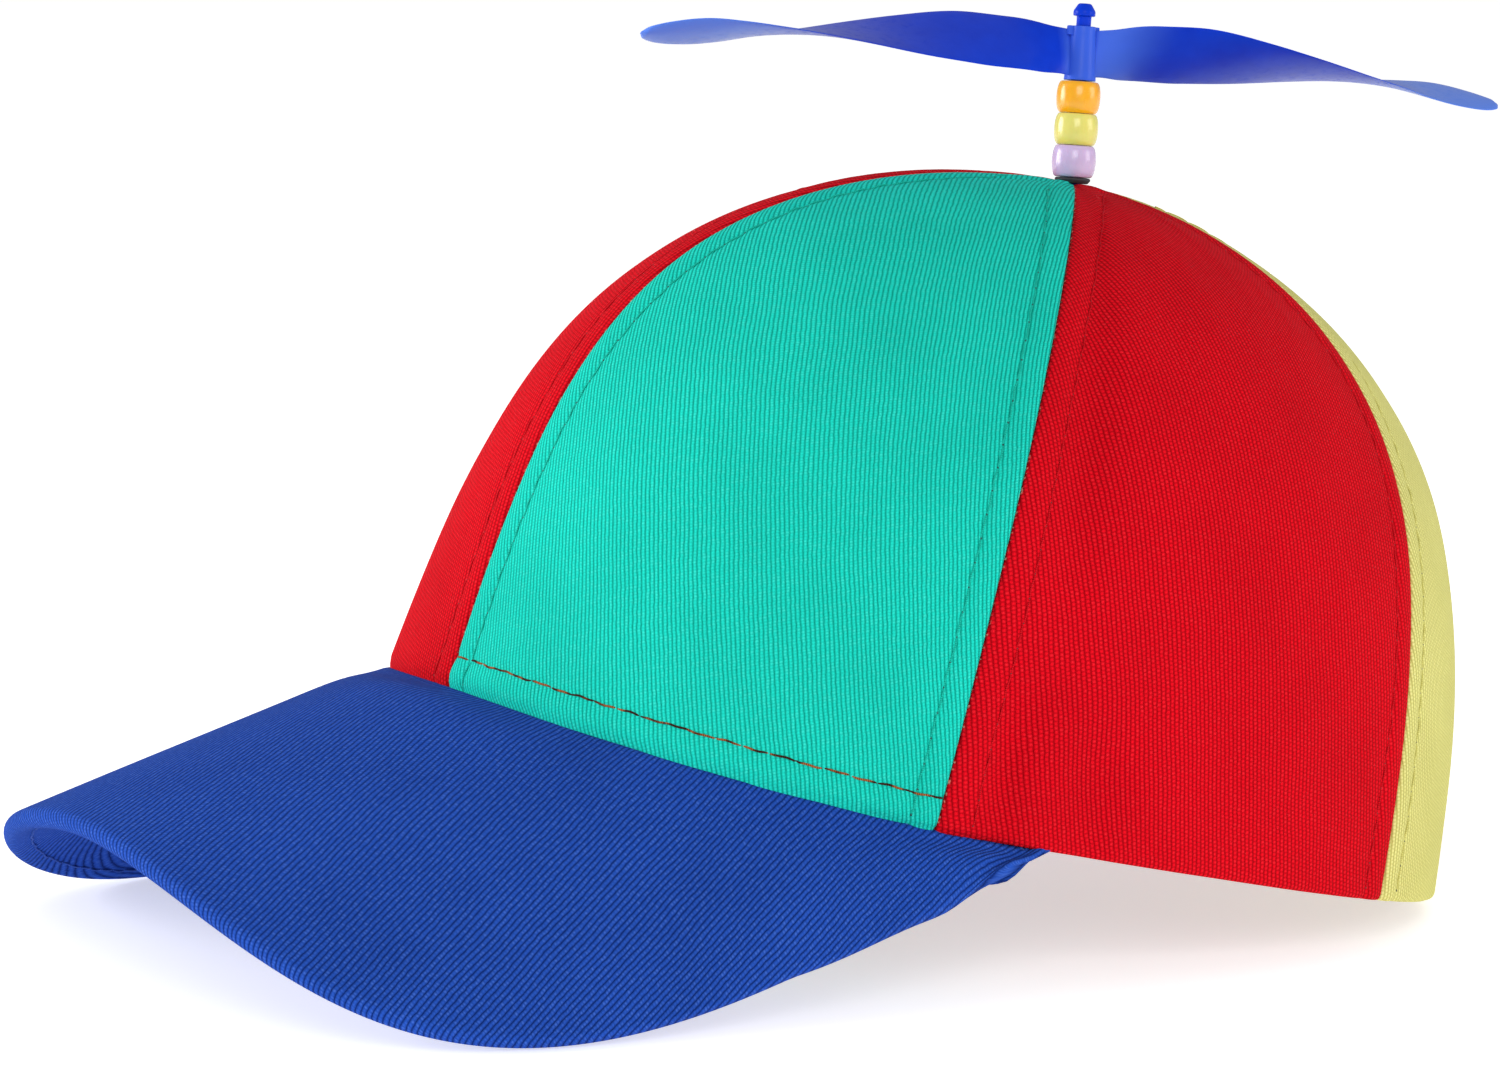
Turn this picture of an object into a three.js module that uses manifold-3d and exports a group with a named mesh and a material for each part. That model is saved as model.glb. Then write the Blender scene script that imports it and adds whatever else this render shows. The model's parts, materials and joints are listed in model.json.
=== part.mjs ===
// Child's and adult's novelty cap with a spinning propeller.
// Millimetres, +Z up. The cap stands on a surface as it rests by itself: on the back of its rim and on the
// two low edges of its bent peak. X runs across the cap and the front of the cap looks along -Y.
//
// The shapes are first laid out in the cap's own frame, where the rim of the crown lies in the plane Z = 0
// and the crown's middle is at X = Y = 0, and are then tipped into the resting place at the end.

import * as THREE from 'three';
import { mergeVertices } from 'three/addons/utils/BufferGeometryUtils.js';
import Module from 'manifold-3d';

// Sizes of the crown
const CROWN_HALF_WIDTH = 83.9;
const CROWN_FRONT_REACH = 111.4;
const CROWN_BACK_REACH = 93.2;
const CROWN_HEIGHT = 118.4;
const CROWN_CORNER = { rim: 2.35, top: 1.65 };
const CLOTH_WALL = 2.0;
const SEAM_GAP = 0.3;
const CLEARANCE = 0.3;

// How far the crown still reaches at a share h of its height, towards the front, the side and the back:
// reach = (1 - h^steep)^(1/round) * (1 + 4 * belly * h * (1 - h))
const PROFILE = {
  front: { steep: 3.2, round: 1.85, belly: -0.047 },
  side: { steep: 2.4, round: 2.04, belly: 0.015 },
  back: { steep: 3.8, round: 1.87, belly: -0.002 },
};

// Seams: angle from the front in degrees at a share h of the height, start + lean * h + curl * h * h
const SEAM_FRONT = { start: 56.5, lean: 3.9, curl: -0.9 };
const SEAM_BACK = { start: 122.8, lean: -6.6, curl: 30.0 };

// Soft folds in the cloth: panel, angle from the front and its reach in degrees, place up the crown and its
// reach as shares of the height, and the depth as a share of the fold size
const FOLD_DEPTH = 1.6;
const FOLDS = [
  { panel: 'panel_side_left', angle: 66, angleReach: 5, up: 0.62, upReach: 0.30, depth: 1.0 },
  { panel: 'panel_side_left', angle: 74, angleReach: 4, up: 0.10, upReach: 0.09, depth: 0.8 },
  { panel: 'panel_side_left', angle: 63, angleReach: 3, up: 0.16, upReach: 0.10, depth: 0.6 },
  { panel: 'panel_side_right', angle: -68, angleReach: 6, up: 0.55, upReach: 0.30, depth: 0.7 },
  { panel: 'panel_back_left', angle: 158, angleReach: 8, up: 0.20, upReach: 0.20, depth: 0.6 },
  { panel: 'panel_back_right', angle: 206, angleReach: 8, up: 0.24, upReach: 0.20, depth: 0.6 },
];

// Peak: a flat pattern bent around an axis that runs forwards and down, tighter towards its tip. Its outer
// edge is half an oval of the given roundness in front and a slightly bowed line back to the end of the join.
const PEAK_LENGTH = 74.9;
const PEAK_HALF_WIDTH = 107.1;
const PEAK_WIDEST = 38.0;
const PEAK_ROUNDNESS = 2.29;
const PEAK_SIDE_BOW = 3.9;
const PEAK_THICKNESS = 4.0;
const PEAK_EDGE_ROLL = 0.6;
const PEAK_END_WALL = 1.0;
const PEAK_JOIN_ANGLE = 70;
const PEAK_JOIN_RISE = 5.6;
const PEAK_ROOT_RISE = 8.7;
const PEAK_DROOP = 29.6;
const PEAK_BEND_ROOT = 94.8;
const PEAK_BEND_TIP = 96.8;
const PEAK_BEND_REACH = 75;
const PEAK_BLEND = 8;

// Pin, beads and propeller
const POST_LEAN_SIDE = -3.5;
const POST_LEAN_FRONT = 6.8;
const PIN_RADIUS = 1.4;
const PIN_HEAD_RADIUS = 6.5;
const PIN_HEAD_THICKNESS = 1.4;
const PIN_BARB_RADIUS = 2.1;
const PIN_BARB_HEIGHT = 2.4;
const PIN_NECK = 1.9;
const WASHER_RADIUS = 4.1;
const WASHER_THICKNESS = 0.4;
const BEAD_RADIUS = 4.1;
const BEAD_HEIGHT = 5.75;
const BEAD_FLAT = 3.15;
const HUB_HEIGHT = 10.25;
const HUB_TOP_RADIUS = 2.4;
const HUB_BASE_RADIUS = 3.05;
const HUB_LUG = 1.25;
const BLADE_REACH = 88.1;
const BLADE_THICKNESS = 1.15;
const BLADE_WIDTH = 18.6;
const BLADE_DROP = 4.5;
const BLADE_SEAT = 5.15;
const PROPELLER_TURN = 79.4;

// Along one blade: place as a share of its reach, width as a share of the blade width, pitch in degrees and
// lift of the middle line over its seat on the hub as a share of the blade drop
const BLADE_SECTIONS = [
  { place: 0.024, width: 0.48, pitch: 78, lift: 0.0 },
  { place: 0.06, width: 0.54, pitch: 64, lift: 0.07 },
  { place: 0.15, width: 0.86, pitch: 40, lift: 0.21 },
  { place: 0.27, width: 0.98, pitch: 34, lift: 0.26 },
  { place: 0.40, width: 1.00, pitch: 24, lift: 0.16 },
  { place: 0.52, width: 1.00, pitch: 13, lift: 0.05 },
  { place: 0.64, width: 0.98, pitch: 2, lift: -0.09 },
  { place: 0.72, width: 0.93, pitch: -5, lift: -0.19 },
  { place: 0.80, width: 0.87, pitch: -13, lift: -0.33 },
  { place: 0.88, width: 0.77, pitch: -19, lift: -0.44 },
  { place: 0.95, width: 0.56, pitch: -21, lift: -0.58 },
  { place: 0.985, width: 0.33, pitch: -21, lift: -0.64 },
  { place: 1.00, width: 0.13, pitch: -21, lift: -0.67 },
];

const COLOURS = {
  green: 0x14bd9f,
  red: 0xcf1320,
  yellow: 0xdfdb82,
  blueCloth: 0x234aa3,
  blueGloss: 0x1440c4,
  dark: 0x3a3a40,
  lilac: 0xc7addc,
  beadYellow: 0xe9e175,
  orange: 0xfaa52c,
};

const radians = THREE.MathUtils.degToRad;
const lerp = THREE.MathUtils.lerp;
const clamp = THREE.MathUtils.clamp;
const smooth = (x) => THREE.MathUtils.smoothstep(x, 0, 1);

function material(colour, roughness, metalness = 0) {
  return new THREE.MeshStandardMaterial({ color: colour, roughness, metalness });
}

// A closed block of cells bent into place: `place(u, v, w)` takes u, v and w from 0 to 1 to a point.
function bentBlock(stepsU, stepsV, stepsW, place) {
  const block = new THREE.BoxGeometry(1, 1, 1, stepsU, stepsV, stepsW);
  block.deleteAttribute('normal');
  block.deleteAttribute('uv');
  const merged = mergeVertices(block, 1e-5);
  const spots = merged.attributes.position;
  for (let i = 0; i < spots.count; i += 1) {
    const point = place(spots.getX(i) + 0.5, spots.getY(i) + 0.5, spots.getZ(i) + 0.5);
    spots.setXYZ(i, point.x, point.y, point.z);
  }
  return facingOut(mergeVertices(merged, 1e-5));
}

// Drops folded-up faces and turns a closed surface's faces outwards when its volume comes out negative.
function facingOut(geometry) {
  const spots = geometry.attributes.position;
  const index = [];
  const a = new THREE.Vector3();
  const b = new THREE.Vector3();
  const c = new THREE.Vector3();
  let volume = 0;
  for (let i = 0; i < geometry.index.count; i += 3) {
    const [p, q, r] = geometry.index.array.slice(i, i + 3);
    if (p !== q && q !== r && r !== p) {
      index.push(p, q, r);
      a.fromBufferAttribute(spots, p);
      b.fromBufferAttribute(spots, q);
      c.fromBufferAttribute(spots, r);
      volume += a.dot(b.cross(c));
    }
  }
  if (volume < 0) {
    index.reverse();
  }
  geometry.setIndex(index);
  geometry.computeVertexNormals();
  return geometry;
}

// A turned piece. Its profile of [radius, height] points starts and ends on the axis or closes on itself.
function turned(profile, segments) {
  const points = profile.map(([radius, height]) => new THREE.Vector2(radius, height));
  const lathe = new THREE.LatheGeometry(points, segments);
  lathe.rotateX(Math.PI / 2);
  lathe.deleteAttribute('normal');
  lathe.deleteAttribute('uv');
  return facingOut(mergeVertices(lathe, 1e-5));
}

function interpolate(rows, place, name) {
  const last = rows.length - 1;
  let i = 0;
  while (i < last - 1 && rows[i + 1].place < place) {
    i += 1;
  }
  const share = clamp((place - rows[i].place) / (rows[i + 1].place - rows[i].place), 0, 1);
  return lerp(rows[i][name], rows[i + 1][name], share);
}

function reach(row, h) {
  return (1 - h ** row.steep) ** (1 / row.round) * (1 + 4 * row.belly * h * (1 - h));
}

// Point of the crown's outer cloth at an angle from the front (radians) and a share h of the height.
function crownPoint(angle, h) {
  const side = Math.sin(angle);
  const along = -Math.cos(angle);
  const reachX = CROWN_HALF_WIDTH * reach(PROFILE.side, h);
  const front = CROWN_FRONT_REACH * reach(PROFILE.front, h);
  const back = CROWN_BACK_REACH * reach(PROFILE.back, h);
  const reachY = along < 0 ? front : back;
  const corner = lerp(CROWN_CORNER.rim, CROWN_CORNER.top, h);
  const sum = (Math.abs(side) / reachX) ** corner + (Math.abs(along) / reachY) ** corner;
  const radius = sum ** (-1 / corner);
  return new THREE.Vector3(radius * side, radius * along, CROWN_HEIGHT * h);
}

function crownNormal(angle, h) {
  const step = 1e-4;
  const low = Math.max(h - step, 0);
  const high = Math.min(h + step, 0.99999);
  const around = crownPoint(angle + step, h).sub(crownPoint(angle - step, h));
  const up = crownPoint(angle, high).sub(crownPoint(angle, low));
  return around.cross(up).normalize();
}

function foldDepth(panel, angleDegrees, h) {
  let depth = 0;
  for (const fold of FOLDS) {
    if (fold.panel === panel) {
      const across = (angleDegrees - fold.angle) / fold.angleReach;
      const up = (h - fold.up) / fold.upReach;
      depth += FOLD_DEPTH * fold.depth * Math.exp(-across * across - up * up);
    }
  }
  return depth;
}

function seamAngle(seam, h) {
  return seam.start + seam.lean * h + seam.curl * h * h;
}

const LEAN = Math.hypot(Math.sin(radians(POST_LEAN_SIDE)), Math.sin(radians(POST_LEAN_FRONT)));

// Share of the height at which the crown, near its top, has a given radius at an angle.
function heightShare(angle, radius) {
  let low = 0.9;
  let high = 0.999999;
  for (let i = 0; i < 40; i += 1) {
    const middle = (low + high) / 2;
    const point = crownPoint(angle, middle);
    if (Math.hypot(point.x, point.y) > radius) {
      low = middle;
    } else {
      high = middle;
    }
  }
  return low;
}

// How far the top of the crown has fallen at a distance from its middle, where it falls most.
function crownDrop(distance) {
  let lowest = 1;
  for (let degrees = 0; degrees < 360; degrees += 15) {
    lowest = Math.min(lowest, heightShare(radians(degrees), distance));
  }
  return CROWN_HEIGHT * (1 - lowest);
}

// Slope of the crown's top there.
function crownSlope(distance) {
  const step = 0.05;
  return (crownDrop(distance + step) - crownDrop(distance)) / step;
}

// The wall leans in by its slope at the hole, so the hole is wider by that much as well as by the pin's lean.
const BORE_RADIUS = PIN_RADIUS + CLEARANCE;
const HOLE_RADIUS = BORE_RADIUS + CLOTH_WALL * (LEAN + crownSlope(BORE_RADIUS));

// One cloth panel of the crown between two seams, each given as a function of h in degrees.
function crownPanel(name, fromSeam, toSeam, stepsAround, stepsUp) {
  return bentBlock(stepsAround, stepsUp, 1, (u, v, w) => {
    const rough = Math.sin(v * Math.PI / 2);
    const guess = radians(lerp(fromSeam(rough), toSeam(rough), u));
    const h = heightShare(guess, HOLE_RADIUS) * rough;
    const from = radians(fromSeam(h));
    const to = radians(toSeam(h));
    const middle = crownPoint((from + to) / 2, h);
    const halfGap = SEAM_GAP / 2 / Math.hypot(middle.x, middle.y);
    const angle = lerp(from + halfGap, to - halfGap, u);
    const fold = foldDepth(name, THREE.MathUtils.radToDeg(angle), h);
    const inwards = fold + w * CLOTH_WALL;
    return crownPoint(angle, h).addScaledVector(crownNormal(angle, h), -inwards);
  });
}

// Angle in radians and height of the line where the peak meets the crown; `u` runs from -1 to 1 around it.
function joinPoint(u) {
  const angle = radians(u * PEAK_JOIN_ANGLE);
  const height = PEAK_JOIN_RISE * smooth(1 - Math.abs(u));
  const point = crownPoint(angle, height / CROWN_HEIGHT);
  return point.addScaledVector(crownNormal(angle, height / CROWN_HEIGHT), CLEARANCE);
}

// Direction up the crown's wall from its rim to the join line.
function joinWall(u) {
  const angle = radians(u * PEAK_JOIN_ANGLE);
  return crownPoint(angle, PEAK_JOIN_RISE / CROWN_HEIGHT).sub(crownPoint(angle, 0)).normalize();
}

function bendRadius(forward) {
  const share = clamp((forward + PEAK_BEND_REACH) / (PEAK_LENGTH + PEAK_BEND_REACH), 0, 1);
  return lerp(PEAK_BEND_ROOT, PEAK_BEND_TIP, share);
}

// Point of the bent peak's top at a place of its flat pattern, sideways and forward of the crown's front.
function peakPoint(sideways, forward) {
  const radius = bendRadius(forward);
  const turn = sideways / radius;
  const droop = radians(PEAK_DROOP);
  return new THREE.Vector3(
    radius * Math.sin(turn),
    -CROWN_FRONT_REACH - forward * Math.cos(droop),
    PEAK_ROOT_RISE - forward * Math.sin(droop) - radius * (1 - Math.cos(turn)),
  );
}

// Place in the flat pattern over a point of the join line.
function joinPattern(point) {
  const forward = (-CROWN_FRONT_REACH - point.y) / Math.cos(radians(PEAK_DROOP));
  const radius = bendRadius(forward);
  return new THREE.Vector2(radius * Math.asin(point.x / radius), forward);
}

// Outer edge in the flat pattern: half an oval in front, then a bowed line back to the join's end.
function edgePattern(u) {
  const turnShare = 0.86;
  const power = 2 / PEAK_ROUNDNESS;
  const end = joinPattern(joinPoint(1));
  const side = Math.sign(u) || 1;
  const share = Math.abs(u) / turnShare;
  if (share <= 1) {
    const turn = share * Math.PI / 2;
    const ahead = lerp(-PEAK_WIDEST, PEAK_LENGTH, Math.max(Math.cos(turn), 0) ** power);
    return new THREE.Vector2(side * PEAK_HALF_WIDTH * Math.sin(turn) ** power, ahead);
  }
  const back = (Math.abs(u) - turnShare) / (1 - turnShare);
  const bow = PEAK_SIDE_BOW * 4 * back * (1 - back);
  const sideways = lerp(PEAK_HALF_WIDTH, end.x + PEAK_END_WALL * 0.6, back) + bow;
  return new THREE.Vector2(side * sideways, lerp(-PEAK_WIDEST, end.y, back));
}

function peakTop(u, share, roll) {
  const join = joinPoint(u);
  const inner = joinPattern(join);
  const outer = edgePattern(u);
  const width = inner.distanceTo(outer);
  const beyond = share + roll / width;
  const spot = inner.clone().lerp(outer, beyond);
  const point = peakPoint(spot.x, spot.y);
  const lift = join.z - peakPoint(inner.x, inner.y).z;
  const away = beyond * width / PEAK_BLEND;
  point.z += lift * Math.exp(-away * away);
  return point;
}

function peakGeometry() {
  return bentBlock(44, 9, 2, (a, b, c) => {
    const u = 2 * a - 1;
    const roll = b ** 12 * PEAK_EDGE_ROLL * (1 - (2 * c - 1) ** 2);
    const step = 1e-3;
    const top = peakTop(u, b, roll);
    const along = peakTop(Math.min(u + step, 1), b, roll).sub(peakTop(Math.max(u - step, -1), b, roll));
    const out = peakTop(u, b + step, roll).sub(peakTop(u, b - step, roll));
    const normal = along.cross(out).normalize();
    if (normal.z < 0) {
      normal.negate();
    }
    const join = joinPoint(u);
    const inner = joinPattern(join);
    const away = smooth(b * inner.distanceTo(edgePattern(u)) / PEAK_BLEND);
    const wall = lerp(join.z + PEAK_END_WALL, PEAK_THICKNESS, away);
    const through = joinWall(u).lerp(normal, away).normalize();
    return top.addScaledVector(through, -wall * c);
  });
}

// Direction of the post that carries the beads, and its places counted upwards from the top of the crown.
const postAxis = new THREE.Vector3(Math.sin(radians(POST_LEAN_SIDE)), -Math.sin(radians(POST_LEAN_FRONT)), 1);
postAxis.z = Math.sqrt(1 - postAxis.x ** 2 - postAxis.y ** 2);
const WASHER_SEAT = CLEARANCE;
const BEAD_START = WASHER_SEAT + WASHER_THICKNESS + CLEARANCE + BEAD_FLAT * LEAN;
const BEAD_PITCH = BEAD_HEIGHT + CLEARANCE;
const HUB_START = BEAD_START + 3 * BEAD_PITCH;
const PIN_TOP = HUB_START + HUB_HEIGHT + PIN_NECK;
const PIN_HEAD_TOP = -(CLOTH_WALL + CLEARANCE + PIN_HEAD_RADIUS * LEAN + crownDrop(PIN_HEAD_RADIUS));

function washerGeometry() {
  const hole = BORE_RADIUS + (WASHER_SEAT + WASHER_THICKNESS) * LEAN;
  return turned([
    [hole, 0],
    [WASHER_RADIUS, 0],
    [WASHER_RADIUS, WASHER_THICKNESS * 0.6],
    [WASHER_RADIUS - WASHER_THICKNESS * 0.4, WASHER_THICKNESS],
    [hole, WASHER_THICKNESS],
    [hole, 0],
  ], 32);
}

function pinGeometry() {
  const headBase = PIN_HEAD_TOP - PIN_HEAD_THICKNESS;
  return turned([
    [0, headBase],
    [PIN_HEAD_RADIUS - 0.3, headBase],
    [PIN_HEAD_RADIUS, headBase + 0.3],
    [PIN_HEAD_RADIUS, PIN_HEAD_TOP - 0.3],
    [PIN_HEAD_RADIUS - 0.3, PIN_HEAD_TOP],
    [PIN_RADIUS, PIN_HEAD_TOP],
    [PIN_RADIUS, PIN_TOP],
    [PIN_BARB_RADIUS, PIN_TOP],
    [PIN_BARB_RADIUS, PIN_TOP + PIN_BARB_HEIGHT * 0.2],
    [PIN_BARB_RADIUS * 0.6, PIN_TOP + PIN_BARB_HEIGHT],
    [0, PIN_TOP + PIN_BARB_HEIGHT],
  ], 24);
}

function beadGeometry() {
  const profile = [
    [BORE_RADIUS, BEAD_HEIGHT],
    [BORE_RADIUS, 0],
  ];
  const steps = 8;
  for (let i = 0; i <= steps; i += 1) {
    const turn = Math.PI * i / steps;
    const belly = Math.sin(turn) ** 0.8;
    const height = BEAD_HEIGHT * (1 - Math.cos(turn)) / 2;
    profile.push([lerp(BEAD_FLAT, BEAD_RADIUS, belly), height]);
  }
  profile.push(profile[0]);
  return turned(profile, 26);
}

function bladeGeometry(side) {
  const first = BLADE_SECTIONS[0].place;
  return bentBlock(30, 4, 1, (u, v, w) => {
    const place = lerp(first, 1, u ** 0.8);
    const pitch = radians(interpolate(BLADE_SECTIONS, place, 'pitch'));
    const width = BLADE_WIDTH * interpolate(BLADE_SECTIONS, place, 'width');
    const middle = BLADE_SEAT + BLADE_DROP * interpolate(BLADE_SECTIONS, place, 'lift');
    const across = (v - 0.5) * width;
    const thickness = (w - 0.5) * BLADE_THICKNESS * (1 - 0.5 * (2 * v - 1) ** 2);
    return new THREE.Vector3(
      side * place * BLADE_REACH,
      -side * (across * Math.cos(pitch) + thickness * Math.sin(pitch)),
      middle + across * Math.sin(pitch) - thickness * Math.cos(pitch),
    );
  });
}

const wasm = await Module();
wasm.setup();

function solidOf(geometry) {
  return new wasm.Manifold(new wasm.Mesh({
    numProp: 3,
    vertProperties: Float32Array.from(geometry.attributes.position.array),
    triVerts: Uint32Array.from(geometry.index.array),
  }));
}

function geometryOf(solid) {
  const mesh = solid.getMesh();
  const geometry = new THREE.BufferGeometry();
  geometry.setAttribute('position', new THREE.BufferAttribute(Float32Array.from(mesh.vertProperties), 3));
  geometry.setIndex(new THREE.BufferAttribute(Uint32Array.from(mesh.triVerts), 1));
  geometry.computeVertexNormals();
  return geometry;
}

// The propeller is one moulding: a flared hub with its bore, two square lugs at its top and two blades.
function propellerGeometry() {
  const hub = solidOf(turned([
    [BORE_RADIUS, 0],
    [HUB_BASE_RADIUS, 0],
    [HUB_TOP_RADIUS, HUB_HEIGHT],
    [BORE_RADIUS, HUB_HEIGHT],
    [BORE_RADIUS, 0],
  ], 28));
  let whole = hub.add(solidOf(bladeGeometry(1))).add(solidOf(bladeGeometry(-1)));
  for (const side of [1, -1]) {
    const lug = new THREE.BoxGeometry(HUB_LUG, HUB_LUG, 1.4 * HUB_LUG);
    lug.translate(side * (HUB_TOP_RADIUS + HUB_LUG * 0.1), 0, HUB_HEIGHT - 0.7 * HUB_LUG);
    lug.deleteAttribute('normal');
    lug.deleteAttribute('uv');
    whole = whole.add(solidOf(mergeVertices(lug, 1e-5)));
  }
  return geometryOf(whole);
}

const cap = new THREE.Group();

function addTo(group, name, geometry, look) {
  const mesh = new THREE.Mesh(geometry, look);
  mesh.name = name;
  group.add(mesh);
  return mesh;
}

// Six panels meet at seams over the front, the two sides and the back; 0 is the middle of the front.
const frontSeam = (h) => seamAngle(SEAM_FRONT, h);
const backSeam = (h) => seamAngle(SEAM_BACK, h);
const rightFrontSeam = (h) => -frontSeam(h);
const rightBackSeam = (h) => -backSeam(h);
const roundRightBackSeam = (h) => 360 - backSeam(h);
const frontMiddle = () => 0;
const backMiddle = () => 180;
const { green, red, yellow, blueCloth } = COLOURS;
const panels = [
  { name: 'panel_front_left', from: frontMiddle, to: frontSeam, around: 14, colour: green },
  { name: 'panel_side_left', from: frontSeam, to: backSeam, around: 14, colour: red },
  { name: 'panel_back_left', from: backSeam, to: backMiddle, around: 11, colour: yellow },
  { name: 'panel_back_right', from: backMiddle, to: roundRightBackSeam, around: 11, colour: red },
  { name: 'panel_side_right', from: rightBackSeam, to: rightFrontSeam, around: 12, colour: blueCloth },
  { name: 'panel_front_right', from: rightFrontSeam, to: frontMiddle, around: 12, colour: red },
];
for (const panel of panels) {
  const geometry = crownPanel(panel.name, panel.from, panel.to, panel.around, 16);
  addTo(cap, panel.name, geometry, material(panel.colour, 0.9));
}
addTo(cap, 'peak', peakGeometry(), material(COLOURS.blueCloth, 0.9));

const top = new THREE.Group();
top.position.set(0, 0, CROWN_HEIGHT);
cap.add(top);
const washer = addTo(top, 'top_washer', washerGeometry(), material(COLOURS.dark, 0.5));
washer.position.z = WASHER_SEAT;

const sideAxis = new THREE.Vector3(0, 1, 0).cross(postAxis).normalize();
const otherAxis = postAxis.clone().cross(sideAxis);
const post = new THREE.Group();
post.quaternion.setFromRotationMatrix(new THREE.Matrix4().makeBasis(sideAxis, otherAxis, postAxis));
top.add(post);
addTo(post, 'pin', pinGeometry(), material(COLOURS.blueGloss, 0.3));

const beads = [
  { name: 'bead_lower', colour: COLOURS.lilac },
  { name: 'bead_middle', colour: COLOURS.beadYellow },
  { name: 'bead_upper', colour: COLOURS.orange },
];
beads.forEach((bead, i) => {
  const mesh = addTo(post, bead.name, beadGeometry(), material(bead.colour, 0.25));
  mesh.position.z = BEAD_START + i * BEAD_PITCH;
});

const propeller = addTo(post, 'propeller', propellerGeometry(), material(COLOURS.blueGloss, 0.25));
propeller.position.z = HUB_START;
propeller.rotation.z = radians(PROPELLER_TURN);

// Resting place: the cap tips about the X axis until the back of its rim and the low edges of its peak touch
// the same level.
function lowestOf(tip, behind) {
  let low = Infinity;
  const point = new THREE.Vector3();
  cap.traverse((mesh) => {
    if (mesh.isMesh) {
      const spots = mesh.geometry.attributes.position;
      for (let i = 0; i < spots.count; i += 1) {
        point.fromBufferAttribute(spots, i).applyMatrix4(mesh.matrixWorld);
        if (point.y > 0 === behind) {
          low = Math.min(low, -point.y * Math.sin(tip) + point.z * Math.cos(tip));
        }
      }
    }
  });
  return low;
}

cap.updateMatrixWorld(true);
let leastTip = 0;
let mostTip = radians(40);
for (let i = 0; i < 40; i += 1) {
  const tip = (leastTip + mostTip) / 2;
  if (lowestOf(tip, false) < lowestOf(tip, true)) {
    leastTip = tip;
  } else {
    mostTip = tip;
  }
}
cap.rotation.x = -leastTip;
cap.updateMatrixWorld(true);

// The origin lies under the middle of the whole object, on the surface that it stands on.
const box = new THREE.Box3().setFromObject(cap, true);
cap.position.set(-(box.min.x + box.max.x) / 2, -(box.min.y + box.max.y) / 2, -box.min.z);

const model = new THREE.Group();
model.add(cap);
model.updateMatrixWorld(true);

export default model;
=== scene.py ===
"""A cotton cap of coloured panels with a bent peak and a toy propeller on a beaded pin.

Lengths in the tables are millimetres in the cap's own frame, where the rim lies at z = 0, the front looks
along -y and the middle of the crown is at x = y = 0. Everything is turned into the resting place and into
metres just before it becomes a mesh.
"""
import json
import math

import bpy
import numpy as np
from mathutils import Matrix


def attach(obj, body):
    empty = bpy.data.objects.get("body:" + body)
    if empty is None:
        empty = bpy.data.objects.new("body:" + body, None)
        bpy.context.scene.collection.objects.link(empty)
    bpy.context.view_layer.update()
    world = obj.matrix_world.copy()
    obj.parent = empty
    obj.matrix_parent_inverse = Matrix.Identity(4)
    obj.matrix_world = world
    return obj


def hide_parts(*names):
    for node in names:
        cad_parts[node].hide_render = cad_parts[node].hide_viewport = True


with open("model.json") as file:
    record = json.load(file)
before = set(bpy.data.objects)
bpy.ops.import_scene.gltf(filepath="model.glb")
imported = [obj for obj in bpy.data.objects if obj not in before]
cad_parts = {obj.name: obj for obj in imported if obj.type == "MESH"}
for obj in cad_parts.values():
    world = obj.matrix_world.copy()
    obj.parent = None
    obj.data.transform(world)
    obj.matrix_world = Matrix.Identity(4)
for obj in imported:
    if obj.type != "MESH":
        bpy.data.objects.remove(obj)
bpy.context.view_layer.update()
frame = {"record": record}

# Sizes of the crown
CROWN_HALF_WIDTH = 83.9
CROWN_FRONT = 111.4
CROWN_BACK = 93.2
CROWN_HEIGHT = 118.4
CROWN_CORNER = (2.35, 1.65)
CLOTH_WALL = 2.0
PROFILE = {
    "front": (3.2, 1.85, -0.047),
    "side": (2.4, 2.04, 0.015),
    "back": (3.8, 1.87, -0.002),
}
SEAM_FRONT = (56.5, 3.9, -0.9)
SEAM_BACK = (122.8, -6.6, 30.0)
SEAM_GAP = 0.05

# Soft folds: panel, angle from the front and reach in degrees, place up the crown and reach, depth
FOLDS = [
    ("side_left", 66, 4.2, 0.62, 0.30, 2.3),
    ("side_left", 74, 4.0, 0.10, 0.09, 1.7),
    ("side_left", 63.0, 2.2, 0.12, 0.09, 2.4),
    ("side_right", -68, 6.0, 0.55, 0.30, 1.1),
    ("back_left", 158, 8.0, 0.20, 0.20, 1.0),
    ("back_right", 206, 8.0, 0.24, 0.20, 1.0),
]

# Rows of stitches: place, stitch length, thread radius
SEAM_STITCH_INSET = 5.6
SEAM_STITCH_LENGTH = 4.6
SEAM_THREAD_RADIUS = 0.15
HEM_STITCH_RISE = 5.4
HEM_STITCH_LENGTH = 4.9
HEM_THREAD_RADIUS = 0.19
HEM_HOLE_RADIUS = 0.3
PEAK_STITCH_INSET = 2.2
PEAK_STITCH_LENGTH = 3.2
PEAK_THREAD_RADIUS = 0.2
SEAM_HOLE_RADIUS = {"green": 0.22, "red": 0.15, "yellow": 0.2, "blue": 0.15}

# Relief of the cloth: its rounded folds and edges, the stitched valleys and their puckers
SEAM_FOLD_DEPTH = 0.75
SEAM_FOLD_LEAST = 0.12
SEAM_FOLD_RADIUS = 1.1
SEAM_BULGE = 0.28
SEAM_BULGE_INSET = 3.0
SEAM_VALLEY = 0.16
SEAM_PUCKER = 0.12
SEAM_WIDE_PUCKER = 0.05
HEM_BEND_RADIUS = 95
HEM_VALLEY = 0.22
HEM_PUCKER = 0.12
HEM_BULGE = 0.3
HEM_BULGE_RISE = 2.6
RIM_ROLL_DEPTH = 0.9
RIM_ROLL_RADIUS = 1.4
SLOW_UNEVENNESS = 0.14
QUICK_UNEVENNESS = 0.07

# Millimetres of flat cloth to one unit of uv
UV_SPAN = 100

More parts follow.
